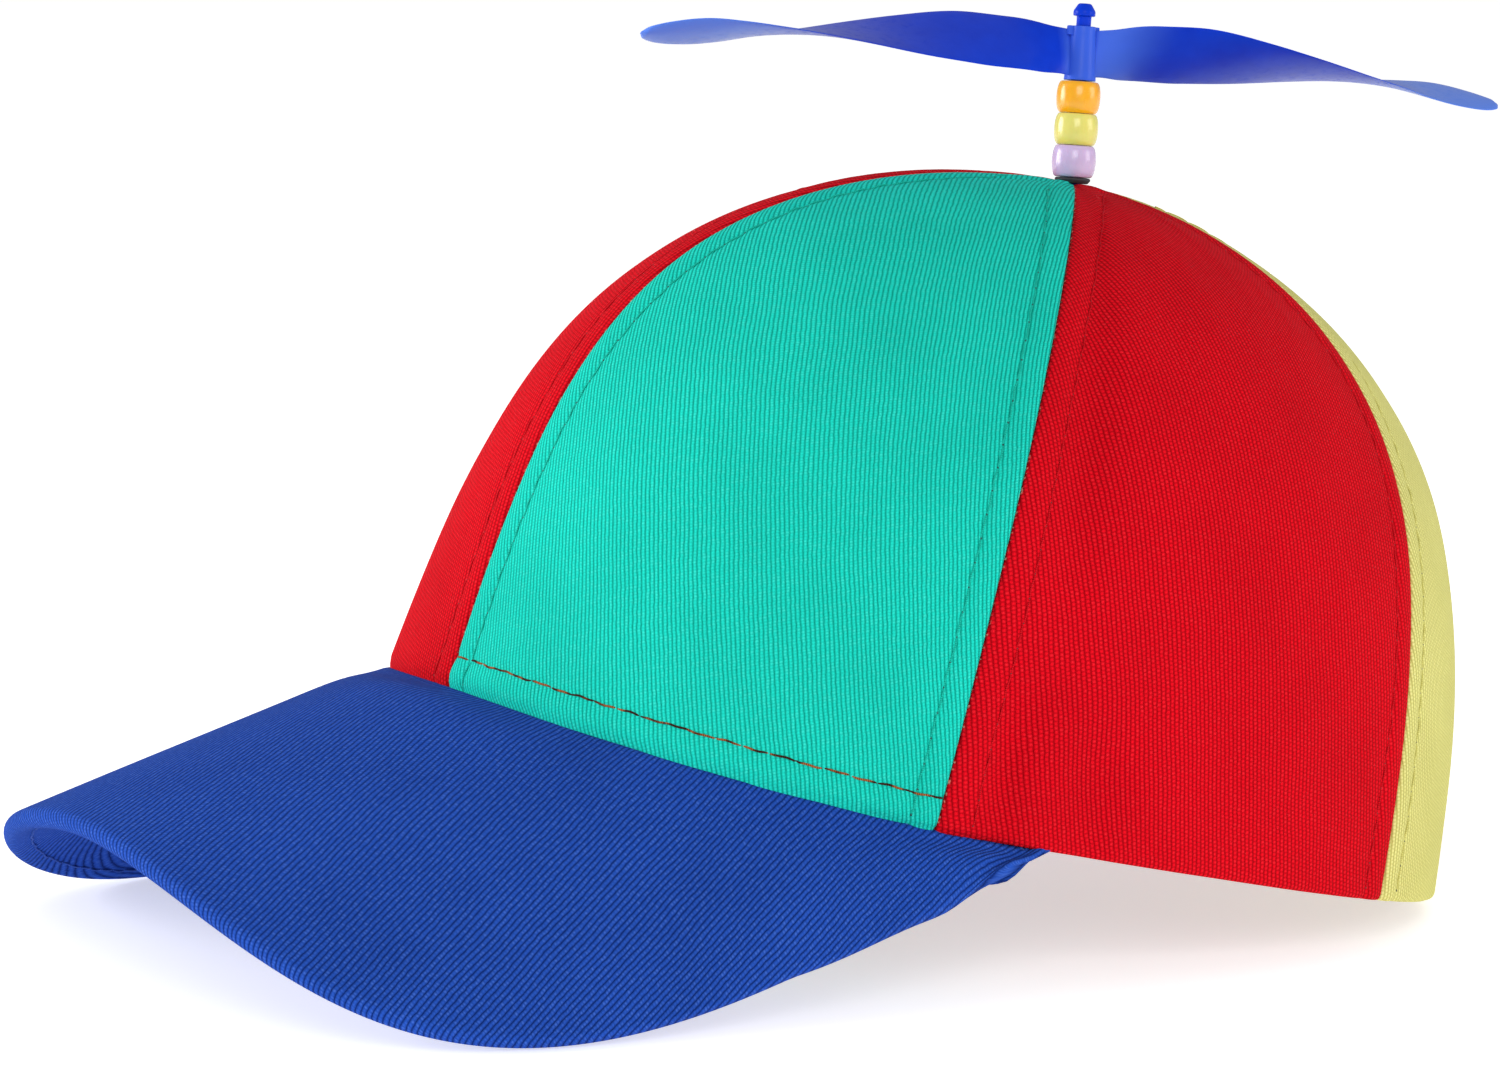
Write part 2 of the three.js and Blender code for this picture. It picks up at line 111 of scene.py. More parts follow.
# Sizes of the peak
PEAK_LENGTH = 74.9
PEAK_HALF_WIDTH = 107.1
PEAK_WIDEST = 38.0
PEAK_ROUNDNESS = 2.29
PEAK_SIDE_BOW = 3.9
PEAK_THICKNESS = 4.0
PEAK_EDGE_ROLL = 0.6
PEAK_END_WALL = 1.0
PEAK_JOIN_ANGLE = 70.0
PEAK_JOIN_RISE = 5.6
PEAK_ROOT_RISE = 8.7
PEAK_DROOP = 29.6
PEAK_BEND_ROOT = 94.8
PEAK_BEND_TIP = 96.8
PEAK_BEND_REACH = 75.0
PEAK_BLEND = 8.0
PEAK_TUCK = 1.1
PEAK_TUCK_RISE = 0.4
PEAK_END_RISE = 1.4
PEAK_EDGE_PULL = 1.5
PEAK_END_SAG = 1.25
PEAK_END_STOUT = 1.2
PEAK_END_REACH = 4.2
PEAK_DIP = 0.7
PEAK_SWELL = 0.18

# Pin, beads and propeller
POST_LEAN_SIDE = -3.5
POST_LEAN_FRONT = 6.8
PIN_RADIUS = 1.4
PIN_HEAD_RADIUS = 6.5
PIN_HEAD_THICKNESS = 1.4
PIN_BARB_RADIUS = 2.1
PIN_BARB_HEIGHT = 2.4
PIN_NECK = 1.9
WASHER_FOOT_RADIUS = 2.9
WASHER_WAIST_RADIUS = 3.45
WASHER_WAIST_HEIGHT = 0.85
WASHER_TOP_RADIUS = 3.2
WASHER_THICKNESS = 0.4
WASHER_LIFT = 0.12
WASHER_PLAY = 0.2
CLEARANCE = 0.3
BEAD_RADIUS = 4.1
BEAD_HEIGHT = 5.75
BEAD_FLAT = 3.15
BEAD_SWELL = 0.08
BEAD_OVERLAP = 0.12
BEAD_SOFTEN = 0.35
HUB_HEIGHT = 10.25
HUB_TOP_RADIUS = 2.4
HUB_BASE_RADIUS = 3.05
HUB_LUG = 1.25
BLADE_REACH = 88.1
BLADE_THICKNESS = 1.15
BLADE_WIDTH = 18.6
BLADE_FULL_WIDTH = 5
BLADE_DROP = 4.5
BLADE_SEAT = 5.15
PROPELLER_TURN = 79.4

# Along one blade: place, width share, pitch in degrees, lift share
BLADE_SECTIONS = np.array([
    (0.024, 0.48, 78, 0.0),
    (0.06, 0.54, 64, 0.07),
    (0.15, 0.86, 40, 0.21),
    (0.27, 0.98, 34, 0.26),
    (0.40, 1.00, 24, 0.16),
    (0.52, 1.00, 13, 0.05),
    (0.64, 0.98, 2, -0.09),
    (0.72, 0.93, -5, -0.19),
    (0.80, 0.87, -13, -0.33),
    (0.88, 0.77, -19, -0.44),
    (0.95, 0.56, -21, -0.58),
    (0.985, 0.33, -21, -0.64),
    (1.00, 0.06, -21, -0.67),
])

# The camera, in the resting frame
CAMERA_PLACE = (955.14, -564.45, 231.74)
CAMERA_AZIMUTH = 59.933
CAMERA_ELEVATION = 8.231
CAMERA_ROLL = -1.090
CAMERA_LENS = 144.65
CAMERA_SENSOR = 36.0

# Light
WORLD_STRENGTH = 0.47
FLOOR_GLOW = 0.56
LIGHT_AIM = (0, 0, 0.06)
LIGHT_SIZE = (0.9, 0.7)
LIGHTS = [
    ("key", (-0.9, -1.3, 0.45), 18),
    ("fill", (1.4, -0.7, 0.85), 9.5),
    ("back_fill", (1.2, 1.3, 0.5), 7),
]


def unit(v):
    """Vectors over their own lengths."""
    return v / np.linalg.norm(v, axis=-1, keepdims=True)


def smooth(x):
    """3 x^2 - 2 x^3 between 0 and 1."""
    x = np.clip(x, 0, 1)
    return x * x * (3 - 2 * x)


def path_length(path):
    """Length along a path up to each of its points."""
    return np.concatenate([[0], np.cumsum(np.linalg.norm(np.diff(path, axis=0), axis=1))])


def bell(x, middle, width):
    """exp(-((x - middle) / width)^2)."""
    return np.exp(-((x - middle) / width) ** 2)


# Crown

def reach(row, h):
    """Share of its reach that the crown keeps at height share h:
    (1 - h^steep)^(1/round) (1 + 4 belly h (1 - h))."""
    steep, roundness, belly = PROFILE[row]
    return (1 - h ** steep) ** (1 / roundness) * (1 + 4 * belly * h * (1 - h))


def crown(angle, h):
    """Outer cloth at an angle from the front in radians and a height share h: a rounded oblong in plan whose
    half axes are the front, side and back reach at that height and whose corners tighten from top to rim."""
    side, along = np.sin(angle), -np.cos(angle)
    x = CROWN_HALF_WIDTH * reach("side", h)
    y = np.where(along < 0, CROWN_FRONT * reach("front", h), CROWN_BACK * reach("back", h))
    corner = CROWN_CORNER[0] + (CROWN_CORNER[1] - CROWN_CORNER[0]) * h
    radius = ((np.abs(side) / x) ** corner + (np.abs(along) / y) ** corner) ** (-1 / corner)
    return np.stack([radius * side, radius * along, CROWN_HEIGHT * h + 0 * angle], -1)


def plan_radius(angle, h):
    """Distance of the outer cloth from the crown's middle, seen from above."""
    return np.linalg.norm(crown(angle, h)[..., :2], axis=-1)


def crown_normal(angle, h):
    """Outward normal of the crown from its two tangents."""
    step = 1e-4
    around = crown(angle + step, h) - crown(angle - step, h)
    up = crown(angle, np.minimum(h + step, 0.99999)) - crown(angle, np.maximum(h - step, 0))
    return unit(np.cross(around, up))


def seam(row, h):
    """Angle of a seam in radians at height share h: start + lean h + curl h^2."""
    return np.radians(row[0] + row[1] * h + row[2] * h * h)


def height_share(angle, distance):
    """Height share where the crown, near its top, is a given distance from its middle, found by halving."""
    low, high = np.full_like(angle, 0.9), np.full_like(angle, 0.999999)
    for _ in range(36):
        middle = (low + high) / 2
        wide = plan_radius(angle, middle) > distance
        low, high = np.where(wide, middle, low), np.where(wide, high, middle)
    return low


def crown_drop(distance):
    """How far the top of the crown has fallen at a distance from its middle, where it falls most."""
    return CROWN_HEIGHT * (1 - height_share(np.radians(np.arange(0.0, 360.0, 15.0)), distance).min())


# The pin's hole is widened by the pin's lean and by the slope of the wall.
LEAN = math.hypot(math.sin(math.radians(POST_LEAN_SIDE)), math.sin(math.radians(POST_LEAN_FRONT)))
BORE_RADIUS = PIN_RADIUS + CLEARANCE
SLOPE_STEP = 0.05
SLOPE = (crown_drop(BORE_RADIUS + SLOPE_STEP) - crown_drop(BORE_RADIUS)) / SLOPE_STEP
HOLE_RADIUS = BORE_RADIUS + CLOTH_WALL * (LEAN + SLOPE)


def fold_depth(panel, degrees, h):
    """Sum of the bell-shaped folds of a panel, in mm inwards."""
    depth = np.zeros_like(degrees)
    for name, angle, across, up, reach_up, deep in FOLDS:
        if name == panel:
            depth += deep * np.exp(-((degrees - angle) / across) ** 2 - ((h - up) / reach_up) ** 2)
    return depth


def join_height(angle):
    """Height of the line where the peak meets the crown, over the rim."""
    return PEAK_JOIN_RISE * smooth(1 - np.abs(np.degrees(angle)) / PEAK_JOIN_ANGLE)


# Six panels, each from one seam to the next
PANELS = {
    "front_left": (lambda h: 0 * h, lambda h: seam(SEAM_FRONT, h)),
    "side_left": (lambda h: seam(SEAM_FRONT, h), lambda h: seam(SEAM_BACK, h)),
    "back_left": (lambda h: seam(SEAM_BACK, h), lambda h: math.pi + 0 * h),
    "back_right": (lambda h: math.pi + 0 * h, lambda h: 2 * math.pi - seam(SEAM_BACK, h)),
    "side_right": (lambda h: -seam(SEAM_BACK, h), lambda h: -seam(SEAM_FRONT, h)),
    "front_right": (lambda h: -seam(SEAM_FRONT, h), lambda h: 0 * h),
}

# Columns beside a seam, as shares of a strip, close together at the fold and the stitches. Where a panel gets
# narrow, each strip takes a share of its width.
STRIP = 8.0
STRIP_SHARE = 0.36
STRIP_STEPS = np.array([0, .1, .22, .38, .6, .9, 1.3, 1.9, 2.7, 3.5, 4.2, 4.8, 5.15, 5.4, 5.6, 5.8, 6.05, 6.4,
                        6.9, 7.4, 8.0]) / STRIP


def roll(distance, radius):
    """1 at an edge and 0 a radius away from it, along a quarter of a circle."""
    return 1 - np.sqrt(1 - np.clip(1 - distance / radius, 0, 1) ** 2)


def relief(panel, angle, h, gap, up):
    """Height of the cloth over the plain crown in mm: folds, the rounded fold at each seam, the valley with
    small puckers along each row of stitches, the rolled rim, and a slow unevenness made of two products of
    sines. gap is the distance to the nearer seam and up the length up from the rim."""
    degrees = np.degrees(angle)
    out = -fold_depth(panel, degrees, h)
    fold = SEAM_FOLD_DEPTH * smooth((0.99 - h) / 0.06) + SEAM_FOLD_LEAST
    out -= fold * roll(gap, SEAM_FOLD_RADIUS)
    out += SEAM_BULGE * bell(gap, SEAM_BULGE_INSET, 1.9)
    pucker = 0.5 + 0.5 * np.cos(2 * math.pi * up / SEAM_STITCH_LENGTH + 2.2 * np.sin(up / 23))
    row, wide = bell(gap, SEAM_STITCH_INSET, 0.75), bell(gap, SEAM_STITCH_INSET, 2.6)
    out -= row * (SEAM_VALLEY + SEAM_PUCKER * pucker) + SEAM_WIDE_PUCKER * wide * pucker
    over = h * CROWN_HEIGHT - join_height(angle)
    if panel == "front_left":
        along = angle * HEM_BEND_RADIUS
        hem = bell(over, HEM_STITCH_RISE, 0.8)
        out -= hem * (HEM_VALLEY + HEM_PUCKER * np.cos(2 * math.pi * along / HEM_STITCH_LENGTH))
        out += HEM_BULGE * bell(over, HEM_BULGE_RISE, 1.6)
    out -= RIM_ROLL_DEPTH * roll(np.maximum(over, 0), RIM_ROLL_RADIUS)
    out += SLOW_UNEVENNESS * np.sin(degrees * 0.21 + 3.1 * h) * np.sin(9 * h + degrees * 0.05)
    out += QUICK_UNEVENNESS * np.sin(degrees * 0.55 - 6 * h) * np.cos(17 * h + 0.11 * degrees)
    return out


def on_cloth(panel, angle, h, gap, up, proud=0.0):
    """Points on the finished cloth, `proud` mm over it, with their normals."""
    normal = crown_normal(angle, h)
    lift = relief(panel, angle, h, gap, up) + proud
    return crown(angle, h) + normal * lift[..., None], normal


def rise_along(angle, h):
    """Length of cloth from the rim up to each h, at one angle."""
    fine = np.sin(np.linspace(0, 1, 400) * math.pi / 2) * 0.99999
    points = crown(np.full_like(fine, angle), fine)
    return np.interp(h, fine, path_length(points))


def panel_grid(panel, rows, middles):
    """Angles, heights, seam distances, cloth lengths and distances from the middle line of a panel's grid.
    Columns crowd at both seams and rows at the rim."""
    start, end = PANELS[panel]
    top_share = 0.999
    v = np.linspace(0, 1, rows)
    v = np.concatenate([[0, 0.0012, 0.003, 0.006], v[1:]])
    rough = np.sin(v * math.pi / 2)
    h = top_share * rough[:, None] * np.ones((1, 2 * len(STRIP_STEPS) + middles))
    for _ in range(2):
        a, b = start(h[:, :1]), end(h[:, :1])
        radius = plan_radius((a + b) / 2, h[:, :1])
        width = (b - a) * radius
        strip = np.minimum(STRIP, STRIP_SHARE * width)
        inner = np.linspace(0, 1, middles + 2)[1:-1][None]
        left = strip * STRIP_STEPS[None]
        centre = strip + (width - 2 * strip) * inner
        right = width - strip * STRIP_STEPS[None, ::-1]
        across = np.concatenate([left, centre, right], 1)
        span = np.clip(across, SEAM_GAP / 2, width - SEAM_GAP / 2)
        angle = a + span / radius
        h = height_share(angle, HOLE_RADIUS) * rough[:, None]
    gap = np.minimum(across, width - across)
    length = rise_along(float((start(0.3) + end(0.3)) / 2), h)
    sideways = across - width / 2
    return angle, h, gap, length, sideways


def circle(count):
    """Angles evenly around a circle, in radians."""
    return np.linspace(0, 2 * math.pi, count, endpoint=False)


# Meshes

joint = frame["record"]["behaviour"]["joints"][0]
post_axis = np.array([math.sin(math.radians(POST_LEAN_SIDE)), -math.sin(math.radians(POST_LEAN_FRONT)), 0.0])
post_axis[2] = math.sqrt(1 - post_axis @ post_axis)
BEAD_START = CLEARANCE + WASHER_THICKNESS + CLEARANCE + BEAD_FLAT * LEAN
BEAD_PITCH = BEAD_HEIGHT + CLEARANCE
HUB_START = BEAD_START + 3 * BEAD_PITCH
PIN_TOP = HUB_START + HUB_HEIGHT + PIN_NECK

# The resting place follows from the propeller's axle: how far the cap tips back, and where it stands.
tip = math.atan2(joint["axis"][2], joint["axis"][1]) - math.atan2(post_axis[2], post_axis[1])
TURN = np.array([[1, 0, 0], [0, math.cos(tip), -math.sin(tip)], [0, math.sin(tip), math.cos(tip)]])
hub_foot = np.array([0, 0, CROWN_HEIGHT]) + post_axis * HUB_START
SHIFT = np.array(joint["pos_m"]) * 1000 - TURN @ hub_foot


def at_rest(points):
    """Cap frame in mm to the resting frame in metres."""
    return (points @ TURN.T + SHIFT) / 1000


side_axis = unit(np.cross([0, 1, 0], post_axis))
POST = np.stack([side_axis, np.cross(post_axis, side_axis), post_axis], 1)


def on_post(points, height, turn=0.0):
    """Points around the post, turned about it by degrees and lifted along it, in the cap frame."""
    c, s = math.cos(math.radians(turn)), math.sin(math.radians(turn))
    spun = points @ np.array([[c, -s, 0], [s, c, 0], [0, 0, 1]]).T + [0, 0, height]
    return spun @ POST.T + [0, 0, CROWN_HEIGHT]


def grid_faces(rows, columns, around=False):
    """Quads of a grid of rows by columns, closed across the last column when `around`."""
    r = np.arange(rows - 1)[:, None]
    c = np.arange(columns if around else columns - 1)[None]
    d = (c + 1) % columns
    quads = np.stack([r * columns + c, r * columns + d, (r + 1) * columns + d, (r + 1) * columns + c], -1)
    return quads.reshape(-1, 4)


def facing(points, faces):
    """Faces turned over when the closed surface's volume is negative."""
    a, b, c, d = (points[faces[:, i]] for i in range(4))
    volume = np.einsum("ij,ij->", a, np.cross(b, c)) + np.einsum("ij,ij->", a, np.cross(c, d))
    return faces if volume > 0 else faces[:, ::-1]


def add_object(name, data):
    """A new object in the scene."""
    made = bpy.data.objects.new(name, data)
    bpy.context.collection.objects.link(made)
    return made


def piece(name, points, faces, look, body, uv=None, values=None, nodes=()):
    """Makes a mesh from arrays: points in the cap frame, quads, one uv pair and one value a point. A quad
    that names a corner twice running is a triangle."""
    points = at_rest(points)
    faces = np.asarray(faces, np.int64)
    kept = faces != np.roll(faces, 1, axis=1)
    corners = faces[kept]
    sides = kept.sum(1)
    mesh = bpy.data.meshes.new(name)
    mesh.vertices.add(len(points))
    mesh.vertices.foreach_set("co", points.ravel())
    mesh.loops.add(len(corners))
    mesh.loops.foreach_set("vertex_index", corners)
    mesh.polygons.add(len(faces))
    mesh.polygons.foreach_set("loop_start", np.cumsum(sides) - sides)
    mesh.update(calc_edges=True)
    mesh.polygons.foreach_set("use_smooth", np.ones(len(faces), bool))
    if uv is not None:
        layer = mesh.uv_layers.new(name="cloth")
        layer.data.foreach_set("uv", uv[corners].ravel())
    for key, array in (values or {}).items():
        mesh.attributes.new(key, "FLOAT", "POINT").data.foreach_set("value", array.ravel())
    mesh.validate()
    made = add_object(name, mesh)
    mesh.materials.append(LOOKS[look])
    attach(made, body)
    if nodes:
        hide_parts(*nodes)
    return made


def shell(outer, inner):
    """Closed wall between two grids of the same size: both skins and the four edge strips."""
    rows, columns = outer.shape[:2]
    count = rows * columns
    skin = grid_faces(rows, columns)
    index = np.arange(count).reshape(rows, columns)
    rim = np.concatenate([index[0, :-1], index[:-1, -1], index[-1, :0:-1], index[:0:-1, 0]])
    after = np.roll(rim, -1)
    wall = np.stack([after, rim, rim + count, after + count], -1)
    faces = np.concatenate([skin, skin[:, ::-1] + count, wall])
    return np.concatenate([outer.reshape(-1, 3), inner.reshape(-1, 3)]), faces


def closed_tube(rings):
    """Rings of points joined along their path and closed by a point in the middle of each end ring."""
    count, sides = rings.shape[:2]
    first, last = rings[0].mean(0), rings[-1].mean(0)
    points = np.concatenate([rings.reshape(-1, 3), [first, last]])
    body = grid_faces(count, sides, around=True)
    k = np.arange(sides)
    n = (k + 1) % sides
    base = np.full(sides, count * sides)
    final = (count - 1) * sides
    start = np.stack([base, n, k, k], -1)
    end = np.stack([base + 1, k + final, n + final, n + final], -1)
    faces = np.concatenate([body, start, end])
    return points, facing(points, faces)


def turned(profile, sides):
    """A profile of (radius, height) carried around the axis. A profile that starts and ends on the axis is
    closed there, and any other closes on itself."""
    profile = np.asarray(profile, float)
    turn = circle(sides)
    on_axis = profile[0, 0] == 0
    body = profile[1:-1] if on_axis else profile
    ring = np.stack([np.cos(turn)[None] * body[:, :1], np.sin(turn)[None] * body[:, :1],
                     body[:, 1:2] + 0 * turn[None]], -1)
    if on_axis:
        return closed_tube(ring)
    points = ring.reshape(-1, 3)
    faces = grid_faces(len(ring) + 1, sides, around=True) % len(points)
    return points, facing(points, faces)


def rounded(points, radius):
    """A profile whose corners are cut by short arcs of four points, of about the given radius."""
    points = [np.asarray(p, float) for p in points]
    out = [points[0]]
    for before, corner, after in zip(points, points[1:], points[2:]):
        one, two = before - corner, after - corner
        size = min(radius, 0.45 * np.linalg.norm(one), 0.45 * np.linalg.norm(two))
        a, b = corner + unit(one) * size, corner + unit(two) * size
        t = np.linspace(0, 1, 4)[:, None]
        out.extend((1 - t) ** 2 * a + 2 * t * (1 - t) * corner + t * t * b)
    out.append(points[-1])
    return np.array(out)


# Materials

def operator(name, swapped=False):
    """A method that makes a new value by one maths operation."""
    def method(self, *other):
        return self.look.maths(name, *((*other, self) if swapped else (self, *other)))
    return method


class Value:
    """A socket that can be used in sums."""

    def __init__(self, look, socket):
        self.look, self.socket = look, socket

    __add__ = __radd__ = operator("ADD")
    __sub__ = operator("SUBTRACT")
    __rsub__ = operator("SUBTRACT", swapped=True)
    __mul__ = __rmul__ = operator("MULTIPLY")
    __truediv__ = operator("DIVIDE")
    __pow__ = operator("POWER")
    floor = operator("FLOOR")
    fraction = operator("FRACT")

    def between(self, low, high):
        """Smooth step from 0 at low to 1 at high."""
        made = self.look.node("ShaderNodeMapRange", {"interpolation_type": "SMOOTHSTEP"},
                              {"Value": self, "From Min": low, "From Max": high})
        return self.look.value(made)


class Look:
    """A material whose nodes are added by name, with one Principled surface."""

    def __init__(self, name):
        self.material = bpy.data.materials.new(name)
        self.material.use_nodes = True
        self.tree = self.material.node_tree
        self.tree.nodes.clear()

    def node(self, kind, settings=None, sockets=None):
        """Any node, with its settings and with its sockets set or linked."""
        made = self.tree.nodes.new(kind)
        for key, setting in (settings or {}).items():
            setattr(made, key, setting)
        for key, value in (sockets or {}).items():
            if isinstance(value, Value):
                self.tree.links.new(value.socket, made.inputs[key])
            else:
                made.inputs[key].default_value = value
        return made

    def value(self, node, output=0):
        """One output of a node."""
        return Value(self, node.outputs[output])

    def maths(self, operation, *terms):
        """One sum of sockets and numbers."""
        return self.value(self.node("ShaderNodeMath", {"operation": operation}, dict(enumerate(terms))))

    def mix(self, factor, one, two):
        """Colour one where the factor is 0, colour two where it is 1."""
        made = self.node("ShaderNodeMix", {"data_type": "RGBA", "clamp_factor": True},
                         {0: factor, 6: one, 7: two})
        return self.value(made, 2)

    def cloth_place(self):
        """The piece's own flat coordinates: the vector, and its two lengths in mm."""
        place = self.value(self.node("ShaderNodeUVMap", {"uv_map": "cloth"}))
        parts = self.node("ShaderNodeSeparateXYZ", {}, {"Vector": place})
        return place, self.value(parts, 0) * UV_SPAN, self.value(parts, 1) * UV_SPAN

    def object_place(self):
        return self.value(self.node("ShaderNodeTexCoord"), "Object")

    def noise(self, place, scale, detail=2.0, rough=0.5):
        """Clouds from 0 to 1."""
        made = self.node("ShaderNodeTexNoise", {}, {"Vector": place, "Scale": scale, "Detail": detail,
                                                    "Roughness": rough})
        return self.value(made)

    def own(self, name):
        """A value that the piece carries at its points."""
        return self.value(self.node("ShaderNodeAttribute", {"attribute_name": name}), "Fac")

    def finish(self, colour, roughness, height=None, depth=0.0, strength=0.0, **fixed):
        """The surface: colour, roughness, a bump of a depth in metres, and constants by socket name."""
        sockets = {"Base Color": colour, "Roughness": roughness}
        if height is not None:
            bump = self.node("ShaderNodeBump", {},
                             {"Height": height, "Distance": depth, "Strength": strength})
            sockets["Normal"] = self.value(bump)
        for key, value in fixed.items():
            sockets[key.replace("_", " ").title().replace("Ior", "IOR")] = value
        surface = self.node("ShaderNodeBsdfPrincipled", {}, sockets)
        self.node("ShaderNodeOutputMaterial", {}, {"Surface": self.value(surface)})
        return self.material


# Depths of the bumps, in metres
WEAVE_DEPTH = 0.00022
TWIST_DEPTH = 0.00006
FLOW_DEPTH = 0.00012
GRAIN_DEPTH = 0.00005


def linear(red, green, blue):
    """A display colour out of 255 as linear light."""
    c = np.array([red, green, blue]) / 255
    c = np.where(c <= 0.04045, c / 12.92, ((c + 0.055) / 1.055) ** 2.4)
    return (*c.tolist(), 1.0)


def scaled(colour, share):
    """A colour made darker or lighter by a share."""
    return (*(v * share for v in colour[:3]), 1.0)


def cotton(name, deep, fair, bright, pitch, slant, nub, lag, knot, glint, fleck, fan=0.0):
    """Woven cotton. Ridges of the given pitch in mm run at a slant in degrees, which fans out by a share per
    mm, each a row of nubs `nub` mm long that lag by a share of a nub from ridge to ridge.
    height = ridge (1 - knot + knot nub), and the colour goes from deep in the furrows to fair on the nubs,
    which is painted shade in the furrows, with bright painted glints on some, pale flecks at the cut seams,
    and painted shade in a thin strip along each seam and along the peak's join."""
    look = Look(name)
    place, x, y = look.cloth_place()
    c, s = math.cos(math.radians(slant)), math.sin(math.radians(slant))
    waver = look.noise(place, 5.0, 1.0) * 1.2 + look.noise(place, 60.0, 1.0) * 0.35
    across = (x * c + y * s - x * y * fan) / pitch + waver
    row = across.floor()
    ridge = 1 - (across.fraction() * 2 - 1) ** 2
    along = (y * c - x * s) / nub + row * lag + waver * 0.4
    bead = 1 - (along.fraction() * 2 - 1) ** 2
    weave = ridge * (bead * knot + (1 - knot))
    fibre = look.noise(place, 420.0, 2.0, 0.6)
    # Painted shade: the furrows of the weave get the deep colour and the nubs the fair one.
    tone = weave * 0.72 + fibre * 0.5 - 0.1
    colour = look.mix(tone, deep, fair)
    # Painted glints: a bright colour on the tops of some nubs.
    patch = look.noise(place, 95.0, 1.0)
    shine = patch.between(0.46, 0.66) * (ridge ** 2) * (bead ** 2) * glint
    colour = look.mix(shine, colour, bright)
    worn = look.noise(place, 3.2, 3.0, 0.6)
    colour = look.mix(worn.between(0.25, 0.8) * 0.16, colour, scaled(deep, 0.72))
    gap = look.own("seam_gap")
    frayed = (1 - gap.between(0.0, 0.34)) * look.noise(place, 130.0, 1.0).between(0.55, 0.68)
    colour = look.mix(frayed * 0.75, colour, fleck)
    # Painted shade: darker within half a millimetre of a seam and of the peak's join.
    shade = (1 - gap.between(0.0, 0.5)) * 0.25
    colour = look.mix(shade * (1 - frayed), colour, scaled(deep, 0.35))
    lumps = weave + fibre * 0.45
    return look.finish(colour, 0.92 - 0.12 * weave, lumps, WEAVE_DEPTH, 0.85, sheen_weight=0.012,
                       sheen_roughness=0.4, specular_ior_level=0.03)


def thread(name, deep, fair, soot=0.0):
    """Twisted sewing thread: slanting strands along the piece, darker between them with painted shade, and
    darker in sooty stretches.
    """
    look = Look(name)
    place, x, y = look.cloth_place()
    strand = (x * 2.6 + y * 1.0).fraction() * 2 - 1
    twist = 1 - strand ** 2
    fuzz = look.noise(place, 300.0, 2.0)
    # Painted shade: darker between the strands.
    colour = look.mix(twist * 0.75 + fuzz * 0.4 - 0.1, deep, fair)
    colour = look.mix(look.noise(place, 24.0, 1.0).between(0.44, 0.54) * soot, colour, deep)
    return look.finish(colour, 0.7, twist + fuzz * 0.4, TWIST_DEPTH, 0.8, specular_ior_level=0.1)


def gloss(name, deep, fair, roughness, coat, soft=0.0, ripple=0.4, specular=0.4, thin=None):
    """Moulded plastic: slow clouds of tone, faint flow marks and fine scuffs in the gloss. It goes over to
    the paler colour `thin` where the piece's own attribute of painted light rises: a painted highlight, and
    light painted as shining through thin plastic. Ripple is the strength of its bump."""
    look = Look(name)
    place = look.object_place()
    cloud = look.noise(place, 90.0, 3.0, 0.6)
    swirl = look.noise(place, 320.0, 4.0, 0.55)
    colour = look.mix(cloud * 0.8 + swirl * 0.35 - 0.1, deep, fair)
    # Painted light: paler where the piece's attribute of painted light rises.
    if thin:
        colour = look.mix(look.own("painted_light_share") * 0.85, colour, thin)
    scuff = look.noise(place, 650.0, 3.0, 0.65)
    fine = look.noise(place, 140.0, 4.0, 0.6)
    worn = roughness + 0.14 * scuff.between(0.45, 0.8)
    return look.finish(colour, worn, fine * 0.6 + scuff * 0.15, FLOW_DEPTH, ripple, coat_weight=coat,
                       coat_roughness=0.12, subsurface_weight=soft, subsurface_scale=0.002,
                       specular_ior_level=specular)


def plain_dark(name, colour):
    """Dark matt surface with a faint grain: rubber for the washer, and painted shade for the needle holes."""
    look = Look(name)
    place = look.object_place()
    grain = look.noise(place, 900.0, 3.0, 0.6)
    shade = look.mix(grain, colour, scaled(colour, 2.2))
    return look.finish(shade, 0.55 + 0.2 * grain, grain, GRAIN_DEPTH, 0.6)


